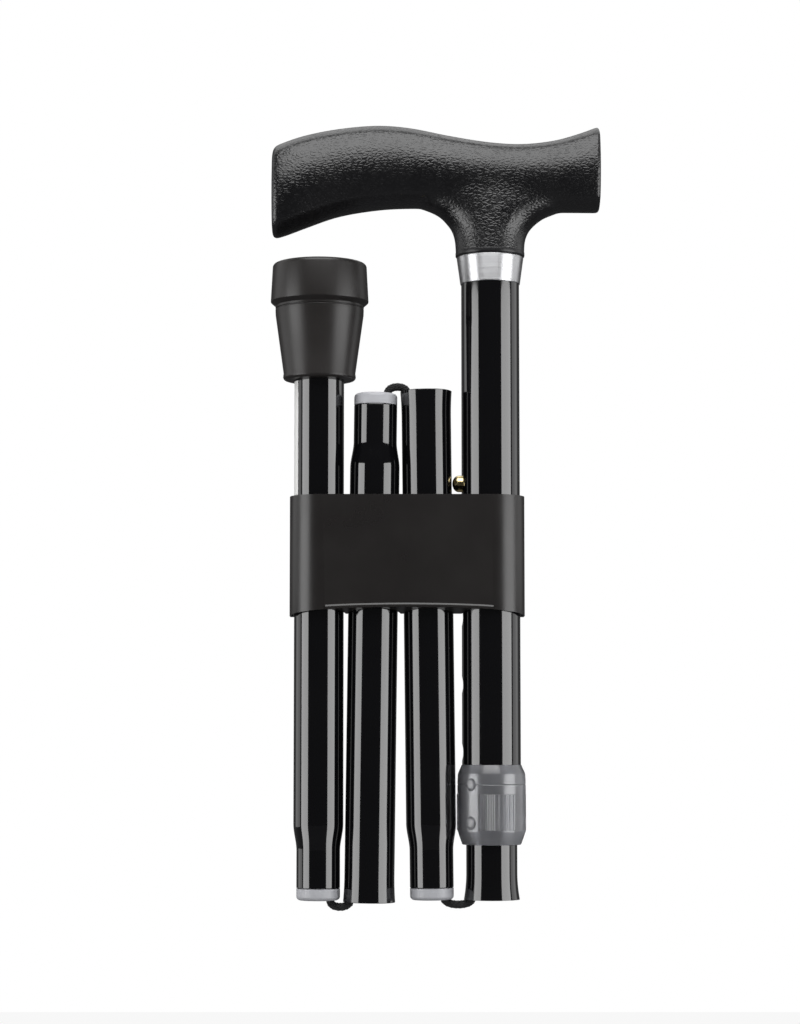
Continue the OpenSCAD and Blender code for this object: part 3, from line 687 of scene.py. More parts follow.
section_axes = {}
section_ends = {}
for number, plug_on_top in (("2", False), ("3", True), ("4", False)):
    node = "tube_" + number
    plug_middle, far_middle = end_middle(node, plug_on_top), end_middle(node, not plug_on_top)
    along = (far_middle - plug_middle).normalized()
    length = (far_middle - plug_middle).length + BUSH_H
    start = plug_middle - along * BUSH_H
    section_axes[number] = (start, along)
    section_ends[number] = far_middle
    section = turn("section_tube_" + number, section_profile(length, number != "4"))
    break_edges(section, EDGE_BREAK, angle=50)
    put(section, start, along)
    clean(section)
    dress(section, tube_lacquer, "tube_black", "section_" + number, node)

# %% [markdown]
# ## End bushes
# A pale plastic bush closes each plug end and keeps the elastic off the cut edge of the tube. Its nose
# is rounded to find the mouth of the next section, and its throat is rounded for the cord. A bevelled
# ring would look much the same from outside, but a profile also gives it the spigot that holds it.

# %% End bushes
BUSH_NOSE = 1.5
BUSH_THROAT = 6.2
BUSH_LIP = 0.4
BUSH_GAP = 0.25
BUSH_SPIGOT = 7
SPIGOT_GAP = 0.05


def bush_profile():
    """Throat with a rounded lip, rounded nose, and a spigot that is pressed into the tube."""
    lip = arc((BUSH_THROAT + BUSH_LIP, BUSH_LIP), (BUSH_LIP, BUSH_LIP), 180, 270, 8)
    nose = arc((PLUG_R - BUSH_NOSE, BUSH_NOSE), (BUSH_NOSE, BUSH_NOSE), 270, 360, 8)
    spigot_r = PLUG_R - SECTION_WALL - SPIGOT_GAP
    return lip + nose + [(PLUG_R, BUSH_H - BUSH_GAP), (spigot_r, BUSH_H - BUSH_GAP),
                         (spigot_r, BUSH_H + BUSH_SPIGOT), (BUSH_THROAT, BUSH_H + BUSH_SPIGOT)]


for number, (start, along) in section_axes.items():
    bush = turn("bush_" + number, bush_profile(), steps=96)
    put(bush, start, along)
    clean(bush)
    dress(bush, bush_plastic, "bush_grey", "section_" + number, "end_bush_" + number)

# %% [markdown]
# ## The ferrule
# A thin bright cone hides the joint between the grip's neck and the tube. A plain cone would end in two
# hard edges. On the real one they are rolled over and catch the light as thin white lines, so the
# profile ends in a small bead above and below.

# %% Ferrule
FERRULE_PROUD = 0.35
FERRULE_GAP = 0.06
FERRULE_BEAD = 0.45
ferrule_low, ferrule_high = box_mm("ferrule")


def ferrule_profile():
    """A cone between two rolled beads, with a straight bore."""
    bore = shaft_r + FERRULE_GAP
    foot_r, top_r = shaft_r + FERRULE_PROUD, ferrule_high.y
    foot = arc((foot_r - FERRULE_BEAD / 2, ferrule_low.z + FERRULE_BEAD),
               (FERRULE_BEAD / 2, FERRULE_BEAD), 270, 360, 6)
    head = arc((top_r - FERRULE_BEAD, ferrule_high.z - FERRULE_BEAD),
               (FERRULE_BEAD, FERRULE_BEAD), 0, 90, 6)
    return [(bore, ferrule_low.z)] + foot + head + [(bore, ferrule_high.z)]


ferrule = turn("ferrule_cone", ferrule_profile())
dress(ferrule, ferrule_metal, "ferrule_aluminium", "upper", "ferrule")

# %% [markdown]
# ## The snap button
# A brass pin with a domed head stands through the height hole. Half a ball on a cylinder would leave a
# seam under the dome, so pin and dome are one profile, turned upright and then laid along the shaft's
# left side.

# %% Snap button
BUTTON_DOME = 2.5
button_r = button_high.y
button_len = button_high.x - button_low.x
dome = arc((0, button_len - BUTTON_DOME), (button_r, BUTTON_DOME), 0, 90, 14)
button = turn("button_dome", [(0, 0), (button_r, 0)] + dome[:-1] + [(0, button_len)], steps=64)
put(button, Vector((button_high.x, 0, button_z)), Vector((-1, 0, 0)))
clean(button, smooth_angle=35)
dress(button, button_metal, "button_brass", "button", "snap_button")

# %% [markdown]
# ## The rubber tip
# The tip is one rubber moulding: a broad base with grip rings, a brim, and a body that narrows to the
# tube. A fine groove runs under the brim, and every edge is soft, as rubber comes out of its mould. It
# could be a bevelled cylinder or two, but all of it is round, so one profile holds every edge at once.

# %% Rubber tip
BRIM_H = 15.2
BRIM_TAPER = 0.7
BRIM_ROUND = 0.6
BRIM_UNDER = 1.2
TIP_BODY_R = 16.9
TIP_END_R = 13.7
TIP_FLOOR = 7
TIP_EDGE = 1.5
TIP_ROUND = 1.3
TIP_LIP = 0.18
TIP_GAP = 0.06
RING_W = 2.0
RING_SLOPE = 0.3
RING_DEPTH = 1.0
RING_RADII = (4.2, 8.0, 12.6)
GROOVE_DROP = 2.3
GROOVE_D = 0.6
tip_low, tip_high = box_mm("rubber_tip")
tip_x = (tip_low.x + tip_high.x) / 2


def tip_profile(brim_r, height):
    """From the middle of the base, over the rings and the brim, down the body and up the socket."""
    points = [(0, 0)]
    for r in RING_RADII:
        points += [(r, 0), (r + RING_SLOPE, -RING_DEPTH)]
        points += [(r + RING_W - RING_SLOPE, -RING_DEPTH), (r + RING_W, 0)]
    points += arc((brim_r - BRIM_TAPER - TIP_EDGE, -TIP_EDGE), (TIP_EDGE, TIP_EDGE), 90, 0, 8)
    points += arc((brim_r - BRIM_ROUND, BRIM_ROUND - BRIM_H), (BRIM_ROUND, BRIM_ROUND), 0, -60, 5)
    points += [(TIP_BODY_R, -BRIM_H - BRIM_UNDER)]
    points += arc((TIP_BODY_R, -BRIM_H - GROOVE_DROP), (GROOVE_D / 2, GROOVE_D / 2), 90, 270, 6)
    points += [(TIP_BODY_R - GROOVE_D / 8, -BRIM_H - GROOVE_DROP - 2 * BRIM_UNDER)]
    points += [(TIP_END_R, 2 * TIP_ROUND - height)]
    points += arc((TIP_END_R + TIP_LIP - TIP_ROUND, TIP_ROUND - height), (TIP_ROUND, TIP_ROUND), 0, -90, 8)
    socket_r = SECTION_R + TIP_GAP
    return points + [(socket_r, -height), (socket_r, -TIP_FLOOR), (0, -TIP_FLOOR)]


tip = turn("tip_rubber", tip_profile(tip_high.y, tip_high.z - tip_low.z))
put(tip, Vector((tip_x, 0, tip_high.z)), Vector((0, 0, 1)))
clean(tip, smooth_angle=40)
dress(tip, tip_rubber, "tip_rubber", "section_4", "rubber_tip")

# %% [markdown]
# ## The lock nut
# The nut is a clear, slightly frosted shell with drawn-in ends, screwed over the collet. It could be a
# solid with a glassy finish, but what lies behind a clear wall is half of its look, so it is turned as a
# shell with its true bore. Its profile has a row of points at both ends of the panel where ribs will
# stand, and a fine line round its head.

# %% Shell of the lock nut
NUT_STEPS = 192
NUT_BODY_R = 12.87
NUT_BORE_R = 12.15
NUT_LIP_R = 10.2
NUT_FOOT_R = 11.2
NUT_FOOT_H = 5.0
NUT_TOP_R = 11.35
NUT_WAIST_R = 12.7
NUT_TOP_H = 3.3
NUT_EDGE = 0.3
NUT_CONE_Z = 3.3
NUT_SHAFT_GAP = 0.12
NUT_OVERLAP = 12.2
NUT_TAPER = 0.8
LINE_UP = 22.5
LINE_W = 0.5
LINE_DEPTH = 0.2
PANEL_FROM = 5.6
PANEL_TO = 18.7
PANEL_EDGE = 0.2
nut_low, nut_high = box_mm("lock_nut")
nut_h = nut_high.z - nut_low.z


def nut_profile():
    """Outside up from the drawn-in foot, and the stepped bore down again."""
    foot = [(NUT_FOOT_R - NUT_EDGE, 0), (NUT_FOOT_R, NUT_EDGE),
            (NUT_BODY_R - NUT_EDGE / 2, NUT_FOOT_H - NUT_EDGE), (NUT_BODY_R, NUT_FOOT_H + NUT_EDGE)]
    panel = [(NUT_BODY_R, PANEL_FROM - PANEL_EDGE), (NUT_BODY_R, PANEL_FROM), (NUT_BODY_R, PANEL_TO),
             (NUT_BODY_R, PANEL_TO + PANEL_EDGE)]
    line = [(NUT_BODY_R, LINE_UP - LINE_W / 2), (NUT_BODY_R - LINE_DEPTH, LINE_UP),
            (NUT_BODY_R, LINE_UP + LINE_W / 2)]
    head = [(NUT_WAIST_R, nut_h - NUT_TOP_H - NUT_EDGE),
            (NUT_WAIST_R - NUT_EDGE / 2, nut_h - NUT_TOP_H + NUT_EDGE),
            (NUT_TOP_R, nut_h - NUT_EDGE), (NUT_TOP_R - NUT_EDGE / 3, nut_h)]
    top_bore = shaft_r + NUT_SHAFT_GAP
    bore = [(top_bore, nut_h), (top_bore, nut_h - NUT_EDGE), (NUT_BORE_R, nut_h - NUT_TOP_H - NUT_EDGE),
            (NUT_BORE_R, nut_h - NUT_OVERLAP), (NUT_BORE_R - NUT_TAPER, NUT_CONE_Z), (NUT_LIP_R, NUT_CONE_Z)]
    return [(NUT_LIP_R, 0)] + foot + panel + line + head + bore


nut = turn("nut_shell", nut_profile(), steps=NUT_STEPS)
print("nut shell %.1f mm high, with %d faces" % (nut_h, len(nut.data.polygons)))

# %% [markdown]
# ## Ribs of the lock nut
# Three panels of fine upright ribs give the fingers a hold. Each rib could be a bar of its own, but in
# the mould they are one with the wall. So the faces of every fourth column are picked by their place and
# pushed outwards, and their neighbours become the ribs' slopes, which mirror the softboxes.

# %% Ribs of the lock nut
PANEL_COUNT = 3
PANEL_TURN = 8
PANEL_HALF = 33
PANEL_PITCH = 360 / PANEL_COUNT
RIB_COLUMNS = 4
RIB_PROUD = 0.26
RIB_SEEK = 0.05


def pick_faces(piece, test):
    """Opens a piece in edit mode with only those faces selected that pass a test."""
    activate(piece)
    bpy.ops.object.mode_set(mode="EDIT")
    bpy.ops.mesh.select_mode(type="FACE")
    mesh = bmesh.from_edit_mesh(piece.data)
    for face in mesh.faces:
        face.select_set(test(face))
    bmesh.update_edit_mesh(piece.data)


def close_edit():
    """Leaves edit mode, with vertices as what is picked next time."""
    bpy.ops.mesh.select_mode(type="VERT")
    bpy.ops.object.mode_set(mode="OBJECT")


def rib_face(face):
    """True for a face that becomes the top of a rib in a panel."""
    middle = face.calc_center_median()
    inside = math.hypot(middle.x, middle.y) < (NUT_BODY_R - RIB_SEEK) * MM
    if inside or not PANEL_FROM < middle.z / MM < PANEL_TO:
        return False
    turn_deg = math.degrees(math.atan2(middle.y, middle.x)) + 90 - PANEL_TURN
    off = (turn_deg + PANEL_PITCH / 2) % PANEL_PITCH - PANEL_PITCH / 2
    return abs(off) < PANEL_HALF and math.floor(turn_deg / (360 / NUT_STEPS)) % RIB_COLUMNS == 0


pick_faces(nut, rib_face)
bpy.ops.transform.shrink_fatten(value=RIB_PROUD * MM)
close_edit()
outer_r = max(v.co.x for v in nut.data.vertices) / MM
print("nut ribs stand", RIB_PROUD, "mm proud, outer radius %.2f mm" % outer_r)

# %% [markdown]
# ## Dimples of the lock nut
# Beside each panel the mould leaves two shallow dimples. They could be dark spots in the finish, but on a
# clear wall it is their slope that shows. So each is scooped out with a ball whose size follows from the
# dimple's width and depth.

# %% Dimples of the lock nut
DIMPLE_R = 2.6
DIMPLE_DEPTH = 0.55
DIMPLE_TURN = -39
DIMPLE_HEIGHTS = (8.2, 22.6)
ball_r = (DIMPLE_R ** 2 + DIMPLE_DEPTH ** 2) / (2 * DIMPLE_DEPTH)
reach = NUT_BODY_R - DIMPLE_DEPTH + ball_r
for panel in range(PANEL_COUNT):
    turn_by = math.radians(-90 + DIMPLE_TURN + 360 * panel / PANEL_COUNT)
    for height in DIMPLE_HEIGHTS:
        combine(nut, "DIFFERENCE", start_with(
            bpy.ops.mesh.primitive_uv_sphere_add, segments=128, ring_count=64, radius=ball_r * MM,
            location=(reach * math.cos(turn_by) * MM, reach * math.sin(turn_by) * MM, height * MM)))
put(nut, Vector((0, 0, nut_low.z)), Vector((0, 0, 1)))
clean(nut, smooth_angle=18)
dress(nut, nut_plastic, "nut_clear", "nut", "lock_nut")

# %% [markdown]
# ## The holder
# A black plastic channel clips over the front of the bundle. It could be a bevelled box with a hollow,
# but its corners follow the outer tubes. So its wall is drawn as one line round the front of the tubes,
# pulled down to its height and given its thickness. The lower front edge is scooped with an oval tool.

# %% Holder wall
HOLDER_WALL = 1.4
HOLDER_GAP = 0.3
SCOOP = 2.8
ARC_STEPS = 28
holder_low, holder_high = box_mm("holder")
holder_x = (holder_low.x + holder_high.x) / 2
holder_h = holder_high.z - holder_low.z
wall_mid_r = shaft_r + HOLDER_GAP + HOLDER_WALL / 2
left_middle = holder_low.x + HOLDER_WALL / 2 + wall_mid_r


def holder_line():
    """The middle of the wall seen from above, from the left back edge round to the right one."""
    left = arc((left_middle, 0), (wall_mid_r, wall_mid_r), 180, 270, ARC_STEPS)
    right = arc((0, 0), (wall_mid_r, wall_mid_r), 270, 360, ARC_STEPS)
    line = [(left_middle - wall_mid_r, holder_high.y)] + left + right + [(wall_mid_r, holder_high.y)]
    return [Vector((x, y, holder_high.z)) * MM for x, y in line]


holder = draw_profile("holder_channel", holder_line())
edit_all(holder)
bpy.ops.mesh.extrude_region_move(TRANSFORM_OT_translate={"value": (0, 0, -holder_h * MM)})
bpy.ops.object.mode_set(mode="OBJECT")
apply_modifier(holder, "SOLIDIFY", thickness=HOLDER_WALL * MM, offset=0, use_even_offset=True)
clean(holder)

half_w = (holder_high.x - holder_low.x) / 2 - HOLDER_WALL / 2
scoop_depth = wall_mid_r + HOLDER_WALL
scoop_tool = start_with(bpy.ops.mesh.primitive_cylinder_add, vertices=128, radius=MM,
                        depth=scoop_depth * MM, rotation=(math.pi / 2, 0, 0))
bpy.ops.object.transform_apply(rotation=True)
scoop_tool.scale = (half_w, 1, SCOOP)
scoop_tool.location = (holder_x * MM, -scoop_depth / 2 * MM, holder_low.z * MM)
bpy.ops.object.transform_apply(location=True, rotation=True, scale=True)
combine(holder, "DIFFERENCE", scoop_tool)
print("holder wall %.1f mm high, scooped by %.1f mm" % (holder_h, SCOOP))

# %% [markdown]
# ## Webs of the holder
# Short webs at the foot of the channel stand between the tubes and keep them apart. Ribs of an even
# thickness would leave gaps beside the round tubes. So each web starts as a block from axis to axis, is
# hollowed by both tubes with a little room, and is sloped below, so that the scoop stays clear of it.

# %% Webs of the holder
WEB_H = 9.0
WEB_BACK = 2.35
SLOPE_LIFT = 0.2
WEB_ROOM = {"right": 0.3, "middle": 1.36, "left": 1.08}
HOLDER_EDGE = 0.35


def axis_at(number, z):
    """Place of a section's axis at a height."""
    start, along = section_axes[number]
    return (start + along * ((z - start.z) / along.z)).x


def post(x, r):
    """A tall round tool at a tube's place, to hollow a web."""
    return start_with(bpy.ops.mesh.primitive_cylinder_add, vertices=96, radius=r * MM,
                      depth=4 * WEB_H * MM, location=(x * MM, 0, holder_low.z * MM))


def web(name, left_x, left_r, right_x, right_r):
    """A block between two tubes, hollowed to both, with its foot sloped up to the scooped edge."""
    piece = start_with(bpy.ops.mesh.primitive_cube_add, size=MM, location=(
        (left_x + right_x) / 2 * MM, -(wall_mid_r + WEB_BACK) / 2 * MM, (holder_low.z + WEB_H / 2) * MM))
    piece.name = name
    piece.scale = (right_x - left_x, wall_mid_r - WEB_BACK, WEB_H)
    bpy.ops.object.transform_apply(location=True, rotation=True, scale=True)
    combine(piece, "DIFFERENCE", post(left_x, left_r), post(right_x, right_r))
    edit_all(piece)
    slope = Vector((0, -SCOOP, -wall_mid_r)).normalized()
    bpy.ops.mesh.bisect(plane_co=(0, 0, (holder_low.z + SLOPE_LIFT) * MM), plane_no=slope, use_fill=True,
                        clear_outer=True)
    bpy.ops.object.mode_set(mode="OBJECT")
    return piece


x_2 = axis_at("2", holder_low.z + WEB_H)
x_3 = axis_at("3", holder_low.z)
x_4 = axis_at("4", holder_low.z)
webs = [web("web_right", x_2, SECTION_R + HOLDER_GAP, 0, shaft_r + WEB_ROOM["right"]),
        web("web_middle", x_3, SECTION_R + WEB_ROOM["middle"], x_2, SECTION_R + HOLDER_GAP),
        web("web_left", x_4, SECTION_R + WEB_ROOM["left"], x_3, SECTION_R + HOLDER_GAP)]
combine(holder, "UNION", *webs)
break_edges(holder, HOLDER_EDGE, angle=50, segments=3)
clean(holder, smooth_angle=40)
print("holder has", len(webs), "webs and", len(holder.data.polygons), "faces")

# %% [markdown]
# ## Lip along the scooped edge
# A thin lip follows the scoop and shows as one fine bright line under the black face. A bevel can't stand
# proud of the wall, so the lip's small section is drawn at one end of the scoop, filled, extruded along
# it step by step, and fused with the wall.

# %% Lip along the scooped edge
LIP_SPAN = (-62.5, 0.5)
LIP_STEPS = 30
# Corners of the lip's section: how far out from the wall's face, and how far up from the scooped edge
LIP_SHAPE = ((-0.4, 0.15), (0.34, 0.15), (0.34, 1.0), (0, 1.6), (-0.4, 1.6))
front_y = -(wall_mid_r + HOLDER_WALL / 2)


def scoop_edge(x):
    """Height of the scooped edge at a place along the front."""
    off = (x - holder_x) / half_w
    return holder_low.z + SCOOP * math.sqrt(1 - off * off)


stops = [LIP_SPAN[0] + (LIP_SPAN[1] - LIP_SPAN[0]) * k / LIP_STEPS for k in range(LIP_STEPS + 1)]
lip = draw_profile("holder_lip", [Vector((stops[0], front_y - out, scoop_edge(stops[0]) + up)) * MM
                                  for out, up in LIP_SHAPE])
edit_all(lip)
bpy.ops.mesh.edge_face_add()
for a, b in zip(stops, stops[1:]):
    step = Vector((b - a, 0, scoop_edge(b) - scoop_edge(a))) * MM
    bpy.ops.mesh.extrude_region_move(TRANSFORM_OT_translate={"value": step})
bpy.ops.object.mode_set(mode="OBJECT")
clean(lip, smooth_angle=20)
combine(holder, "UNION", lip)
clean(holder, smooth_angle=25)
dress(holder, holder_plastic, "holder_black", "holder", "holder")

# %% [markdown]
# ## The grip
# The grip is a derby: a long palm rest that droops to a nose in front, a saddle for the thumb web, and a
# raised heel. Its section is a fat oval, squarer than an ellipse. It could be sculpted, but its outline
# is known from the side. So we loft it ring by ring, as one would with extrude and scale, from tables of
# shares of its own length and height. A curve that passes smoothly through a table's points gives the
# rings between them.

# %% Lofting helpers
RING_SIDES = 48


def smooth_share(stations, shares, at):
    """Value of a table of shares at a place, on a curve that passes smoothly through its points."""
    k = max(i for i in range(len(stations) - 1) if stations[i] <= at)
    width = stations[k + 1] - stations[k]
    t = (at - stations[k]) / width

    def lean(i):
        a, b = max(i - 1, 0), min(i + 1, len(stations) - 1)
        return (shares[b] - shares[a]) / (stations[b] - stations[a]) * width

    a, b, p, q = shares[k], shares[k + 1], lean(k), lean(k + 1)
    return a + t * (p + t * (3 * (b - a) - 2 * p - q + t * (2 * (a - b) + p + q)))


def loft(name, rings, turned_to, squareness):
    """Extrudes a disc along rings of (middle, half sizes), in millimetres, scaling it on the way."""
    piece = start_with(bpy.ops.mesh.primitive_circle_add, vertices=RING_SIDES, radius=MM, fill_type="NGON")
    piece.name = name
    if squareness:
        apply_modifier(piece, "CAST", cast_type="CUBOID", factor=squareness, use_z=False)
    piece.rotation_euler = turned_to
    bpy.ops.object.transform_apply(rotation=True)
    edit_all(piece)
    middle, half = Vector((0, 0, 0)), Vector((1, 1, 1))
    for number, (next_middle, next_half) in enumerate(rings):
        step = {"value": (next_middle - middle) * MM}
        if number == 0:
            bpy.ops.transform.translate(**step)
        else:
            bpy.ops.mesh.extrude_region_move(TRANSFORM_OT_translate=step)
        ratio = [b / a for a, b in zip(half, next_half)]
        bpy.ops.transform.resize(value=ratio, center_override=next_middle * MM)
        middle, half = next_middle, next_half
    bpy.ops.object.mode_set(mode="OBJECT")
    clean(piece)
    return piece


print("rings of", RING_SIDES, "sides")

# %% Grip lofted from nose to heel
NOSE_DROP = 25.2
STATION_SHARES = (0, 0.04, 0.1, 0.2, 0.32, 0.42, 0.54, 0.66, 0.76, 0.86, 0.94, 1)
TOP_SHARES = (0.56, 0.67, 0.8, 0.93, 1, 0.95, 0.79, 0.66, 0.62, 0.69, 0.84, 0.99)
UNDER_SHARES = (1, 0.94, 0.825, 0.65, 0.546, 0.518, 0.53, 0.548, 0.563, 0.579, 0.583, 0.587)
WIDTH_SHARES = (0.88, 0.95, 0.98, 1, 1, 0.99, 0.97, 0.96, 0.95, 0.95, 0.94, 0.93)
GRIP_RINGS = 44
SQUARENESS = 0.17
NOSE_ROUND = 2.2
HEEL_ROUND = 1.0
FLAT_BAND = 0.1
grip_low, grip_high = box_mm("handle")


def grip_ring(share):
    """Middle and half sizes of the grip at a share of its length."""
    top = grip_high.z * smooth_share(STATION_SHARES, TOP_SHARES, share)
    under = -NOSE_DROP * smooth_share(STATION_SHARES, UNDER_SHARES, share)
    half_y = grip_high.y * smooth_share(STATION_SHARES, WIDTH_SHARES, share)
    x = grip_low.x + (grip_high.x - grip_low.x) * share
    return Vector((x, 0, (top + under) / 2)), Vector((1, half_y, (top - under) / 2))


def round_end(piece, x, width):
    """Bevels the rim of the flat end of the grip that lies at x."""
    pick_faces(piece, lambda face: all(abs(v.co.x - x * MM) < FLAT_BAND * MM for v in face.verts))
    bpy.ops.mesh.bevel(offset=width * MM, segments=6, affect="EDGES")
    close_edit()


grip = loft("grip_skin", [grip_ring(k / GRIP_RINGS) for k in range(GRIP_RINGS + 1)],
            (0, math.pi / 2, 0), SQUARENESS)
round_end(grip, grip_low.x, NOSE_ROUND)
round_end(grip, grip_high.x, HEEL_ROUND)
print("grip lofted with", len(grip.data.polygons), "faces")

# %% [markdown]
# ## The neck
# The neck grows out of the grip and narrows to the ferrule. It is lofted the same way, from the ferrule
# up. A boolean would join the two with a hard seam. So a remesh melts them into one skin, and a few
# smoothing passes take off its steps. More passes, painted on the front and back where the neck runs into
# the grip, let the one swell out of the other as the moulding does, and leave the outline as it is.

# %% Neck lofted from the ferrule up into the grip
NECK_R = 13.1
LEVEL_SHARES = (0, 0.2, 0.33, 0.44, 0.5, 0.55, 0.62, 0.85)
NOSE_SPREAD_SHARES = (1, 1.03, 1.13, 1.34, 1.5, 1.72, 2.15, 2.5)
HEEL_SPREAD_SHARES = (1, 1.03, 1.17, 1.45, 1.7, 2.04, 2.4, 2.5)
NECK_WIDTH_SHARES = (1, 1, 1, 0.99, 0.99, 0.98, 0.97, 0.94)
NECK_RINGS = 24
SKIN_MM = 0.5
SMOOTH_FACTOR = 0.5
SMOOTH_PASSES = 22
BLEND_MIDDLE = (3, -9)
BLEND_REACH = (34, 19)
BLEND_PASSES = 260


def neck_ring(share):
    """Middle and half sizes of the neck at a share of the way from its foot to the grip's middle."""
    nose = -NECK_R * smooth_share(LEVEL_SHARES, NOSE_SPREAD_SHARES, share)
    heel = NECK_R * smooth_share(LEVEL_SHARES, HEEL_SPREAD_SHARES, share)
    half_y = NECK_R * smooth_share(LEVEL_SHARES, NECK_WIDTH_SHARES, share)
    return Vector(((nose + heel) / 2, 0, grip_low.z * (1 - share))), Vector(((heel - nose) / 2, half_y, 1))


def join(piece, other):
    """Makes two pieces one object."""
    activate(piece)
    other.select_set(True)
    bpy.ops.object.join()


top_level = LEVEL_SHARES[-1]
neck_rings = [neck_ring(top_level * k / NECK_RINGS) for k in range(NECK_RINGS + 1)]
join(grip, loft("grip_neck", neck_rings, (0, 0, 0), 0))
apply_modifier(grip, "REMESH", mode="VOXEL", voxel_size=SKIN_MM * MM)
apply_modifier(grip, "SMOOTH", factor=SMOOTH_FACTOR, iterations=SMOOTH_PASSES)
blend = grip.vertex_groups.new(name="blend")
for vertex in grip.data.vertices:
    off_x = (vertex.co.x / MM - BLEND_MIDDLE[0]) / BLEND_REACH[0]
    off_z = (vertex.co.z / MM - BLEND_MIDDLE[1]) / BLEND_REACH[1]
    blend.add([vertex.index], max(0, 1 - off_x ** 2 - off_z ** 2) * abs(vertex.normal.y), "REPLACE")
apply_modifier(grip, "SMOOTH", factor=SMOOTH_FACTOR, iterations=BLEND_PASSES, vertex_group="blend")
print("grip and neck melted into one skin of", len(grip.data.polygons), "faces")

# %% [markdown]
# ## Foot, socket and rim of the neck
# The neck ends in a smooth rim that meets the ferrule, and the tube stands in a socket inside it. The
# smoothing has rounded the neck's foot, so the foot is cut off flat, the socket is bored, and the rim
# is turned as a piece of its own, since it has no grain.

# %% Foot, socket and rim of the neck
SOCKET_TOP = 20
SOCKET_GAP = 0.05
RIM_H = 2.0
RIM_OVERLAP = 0.1
RIM_PROUD = 0.12
RIM_ROUND = 0.7
socket_r = shaft_r + SOCKET_GAP
edit_all(grip)
bpy.ops.mesh.bisect(plane_co=(0, 0, (grip_low.z + RIM_H - RIM_OVERLAP) * MM), plane_no=(0, 0, -1),
                    use_fill=True, clear_outer=True)
bpy.ops.object.mode_set(mode="OBJECT")
combine(grip, "DIFFERENCE", start_with(
    bpy.ops.mesh.primitive_cylinder_add, vertices=128, radius=socket_r * MM,
    depth=2 * SOCKET_TOP * MM, location=(0, 0, grip_low.z * MM)))
activate(grip)
bpy.ops.object.shade_smooth_by_angle(angle=math.radians(40))
dress(grip, grip_grain, "leather_grain", "upper", "handle")

rim_r = NECK_R + RIM_PROUD
rim_top = grip_low.z + RIM_H
rim_foot = arc((rim_r - RIM_ROUND, grip_low.z + RIM_ROUND), (RIM_ROUND, RIM_ROUND), 270, 360, 6)
rim_head = arc((rim_r - RIM_ROUND / 2, rim_top - RIM_ROUND / 2), (RIM_ROUND / 2, RIM_ROUND / 2), 0, 90, 5)
rim = turn("grip_rim", [(socket_r, grip_low.z)] + rim_foot + rim_head + [(socket_r, rim_top)])
dress(rim, rim_plastic, "leather_grain", "upper", "handle")

# %% [markdown]
# ## The elastic's loops
# A braided elastic runs through all the sections and shows where it loops from one into the next. A loop
# can't follow the fold as a stiff thing would. So it rides on one of the two sections. In the other tube it
# has a straight leg, which comes out when that tube is drawn away.

# %% Paths of the loops
CORD_R = 1.6
BUSH_LEAN = 4.36
DIP = 4.5
HUMP_STEPS = 40
HUMP_FULLNESS = 0.5
RIM_GAP = 0.25
LEG = 25.0
LEG_LEAN = 0.9
# Loop, section whose bush it leaves, body that carries it, tube whose mouth it enters, 1 to arch up
LOOPS = (("1", "2", "section_2", "inner_tube", -1), ("2", "3", "section_2", "tube_2", 1),
         ("3", "4", "section_3", "tube_3", -1))


def arch_path(bush_x, rim_x, peak_z, up, leg_in_rim):
    """Points of a hump out of a bush and over into the next tube's rim, with a leg in one of the two."""
    left, right = bush_x + BUSH_LEAN, rim_x + CORD_R + RIM_GAP
    middle, half = (left + right) / 2, (right - left) / 2
    hump = []
    for k in range(HUMP_STEPS + 1):
        angle = math.pi * k / HUMP_STEPS
        sink = DIP * (1 - math.sin(angle) ** HUMP_FULLNESS)
        hump.append(Vector((middle - half * math.cos(angle), 0, peak_z - up * sink)))
    if leg_in_rim:
        return hump + [hump[-1] + Vector((LEG_LEAN, 0, -up * LEG))]
    return [hump[0] + Vector((0, 0, -up * LEG))] + hump


loop_paths = {}
for number, bushed, carrier, mouth_node, up in LOOPS:
    low, high = box_mm("cord_loop_" + number)
    peak = high.z - CORD_R if up > 0 else low.z + CORD_R
    mouth = end_middle(mouth_node, up > 0)
    tube_r = INNER_R if number == "1" else SECTION_R
    bush_place = section_axes[bushed][0]
    with_bush = carrier == "section_" + bushed
    path = arch_path(bush_place.x, mouth.x - tube_r + SECTION_WALL - MOUTH_LEAD, peak, up, with_bush)
    loop_paths[number] = (path, carrier, bush_place if with_bush else mouth)
    whole = sum((b - a).length for a, b in zip(path, path[1:]))
    print("loop", number, "with its leg is %.0f mm long" % whole)

# %% [markdown]
# ## The braid
# The elastic is rubber under a braid of yarn. A woven pattern in the finish would leave the cord's outline
# smooth, so the loops are braided from real strands: half of them wind to the left, half to the right,
# and each rises over one strand and dives under the next. The strands are curves along the loop's path,
# turned into a mesh with a plain core inside.

# %% Strands of the braid
STRAND_R = 0.4
STRAND_LIFT = 0.13
STRANDS = 7
LAY_MM = 10.5
STEP_MM = 0.4


def even_steps(points, step):
    """The same path with a point at every step along it."""
    lengths = [0]
    for a, b in zip(points, points[1:]):
        lengths.append(lengths[-1] + (b - a).length)
    count = round(lengths[-1] / step)
    path = []
    for n in range(count + 1):
        at = lengths[-1] * n / count
        k = max(i for i in range(len(points) - 1) if lengths[i] <= at)
        path.append(points[k].lerp(points[k + 1], (at - lengths[k]) / (lengths[k + 1] - lengths[k])))
    return path


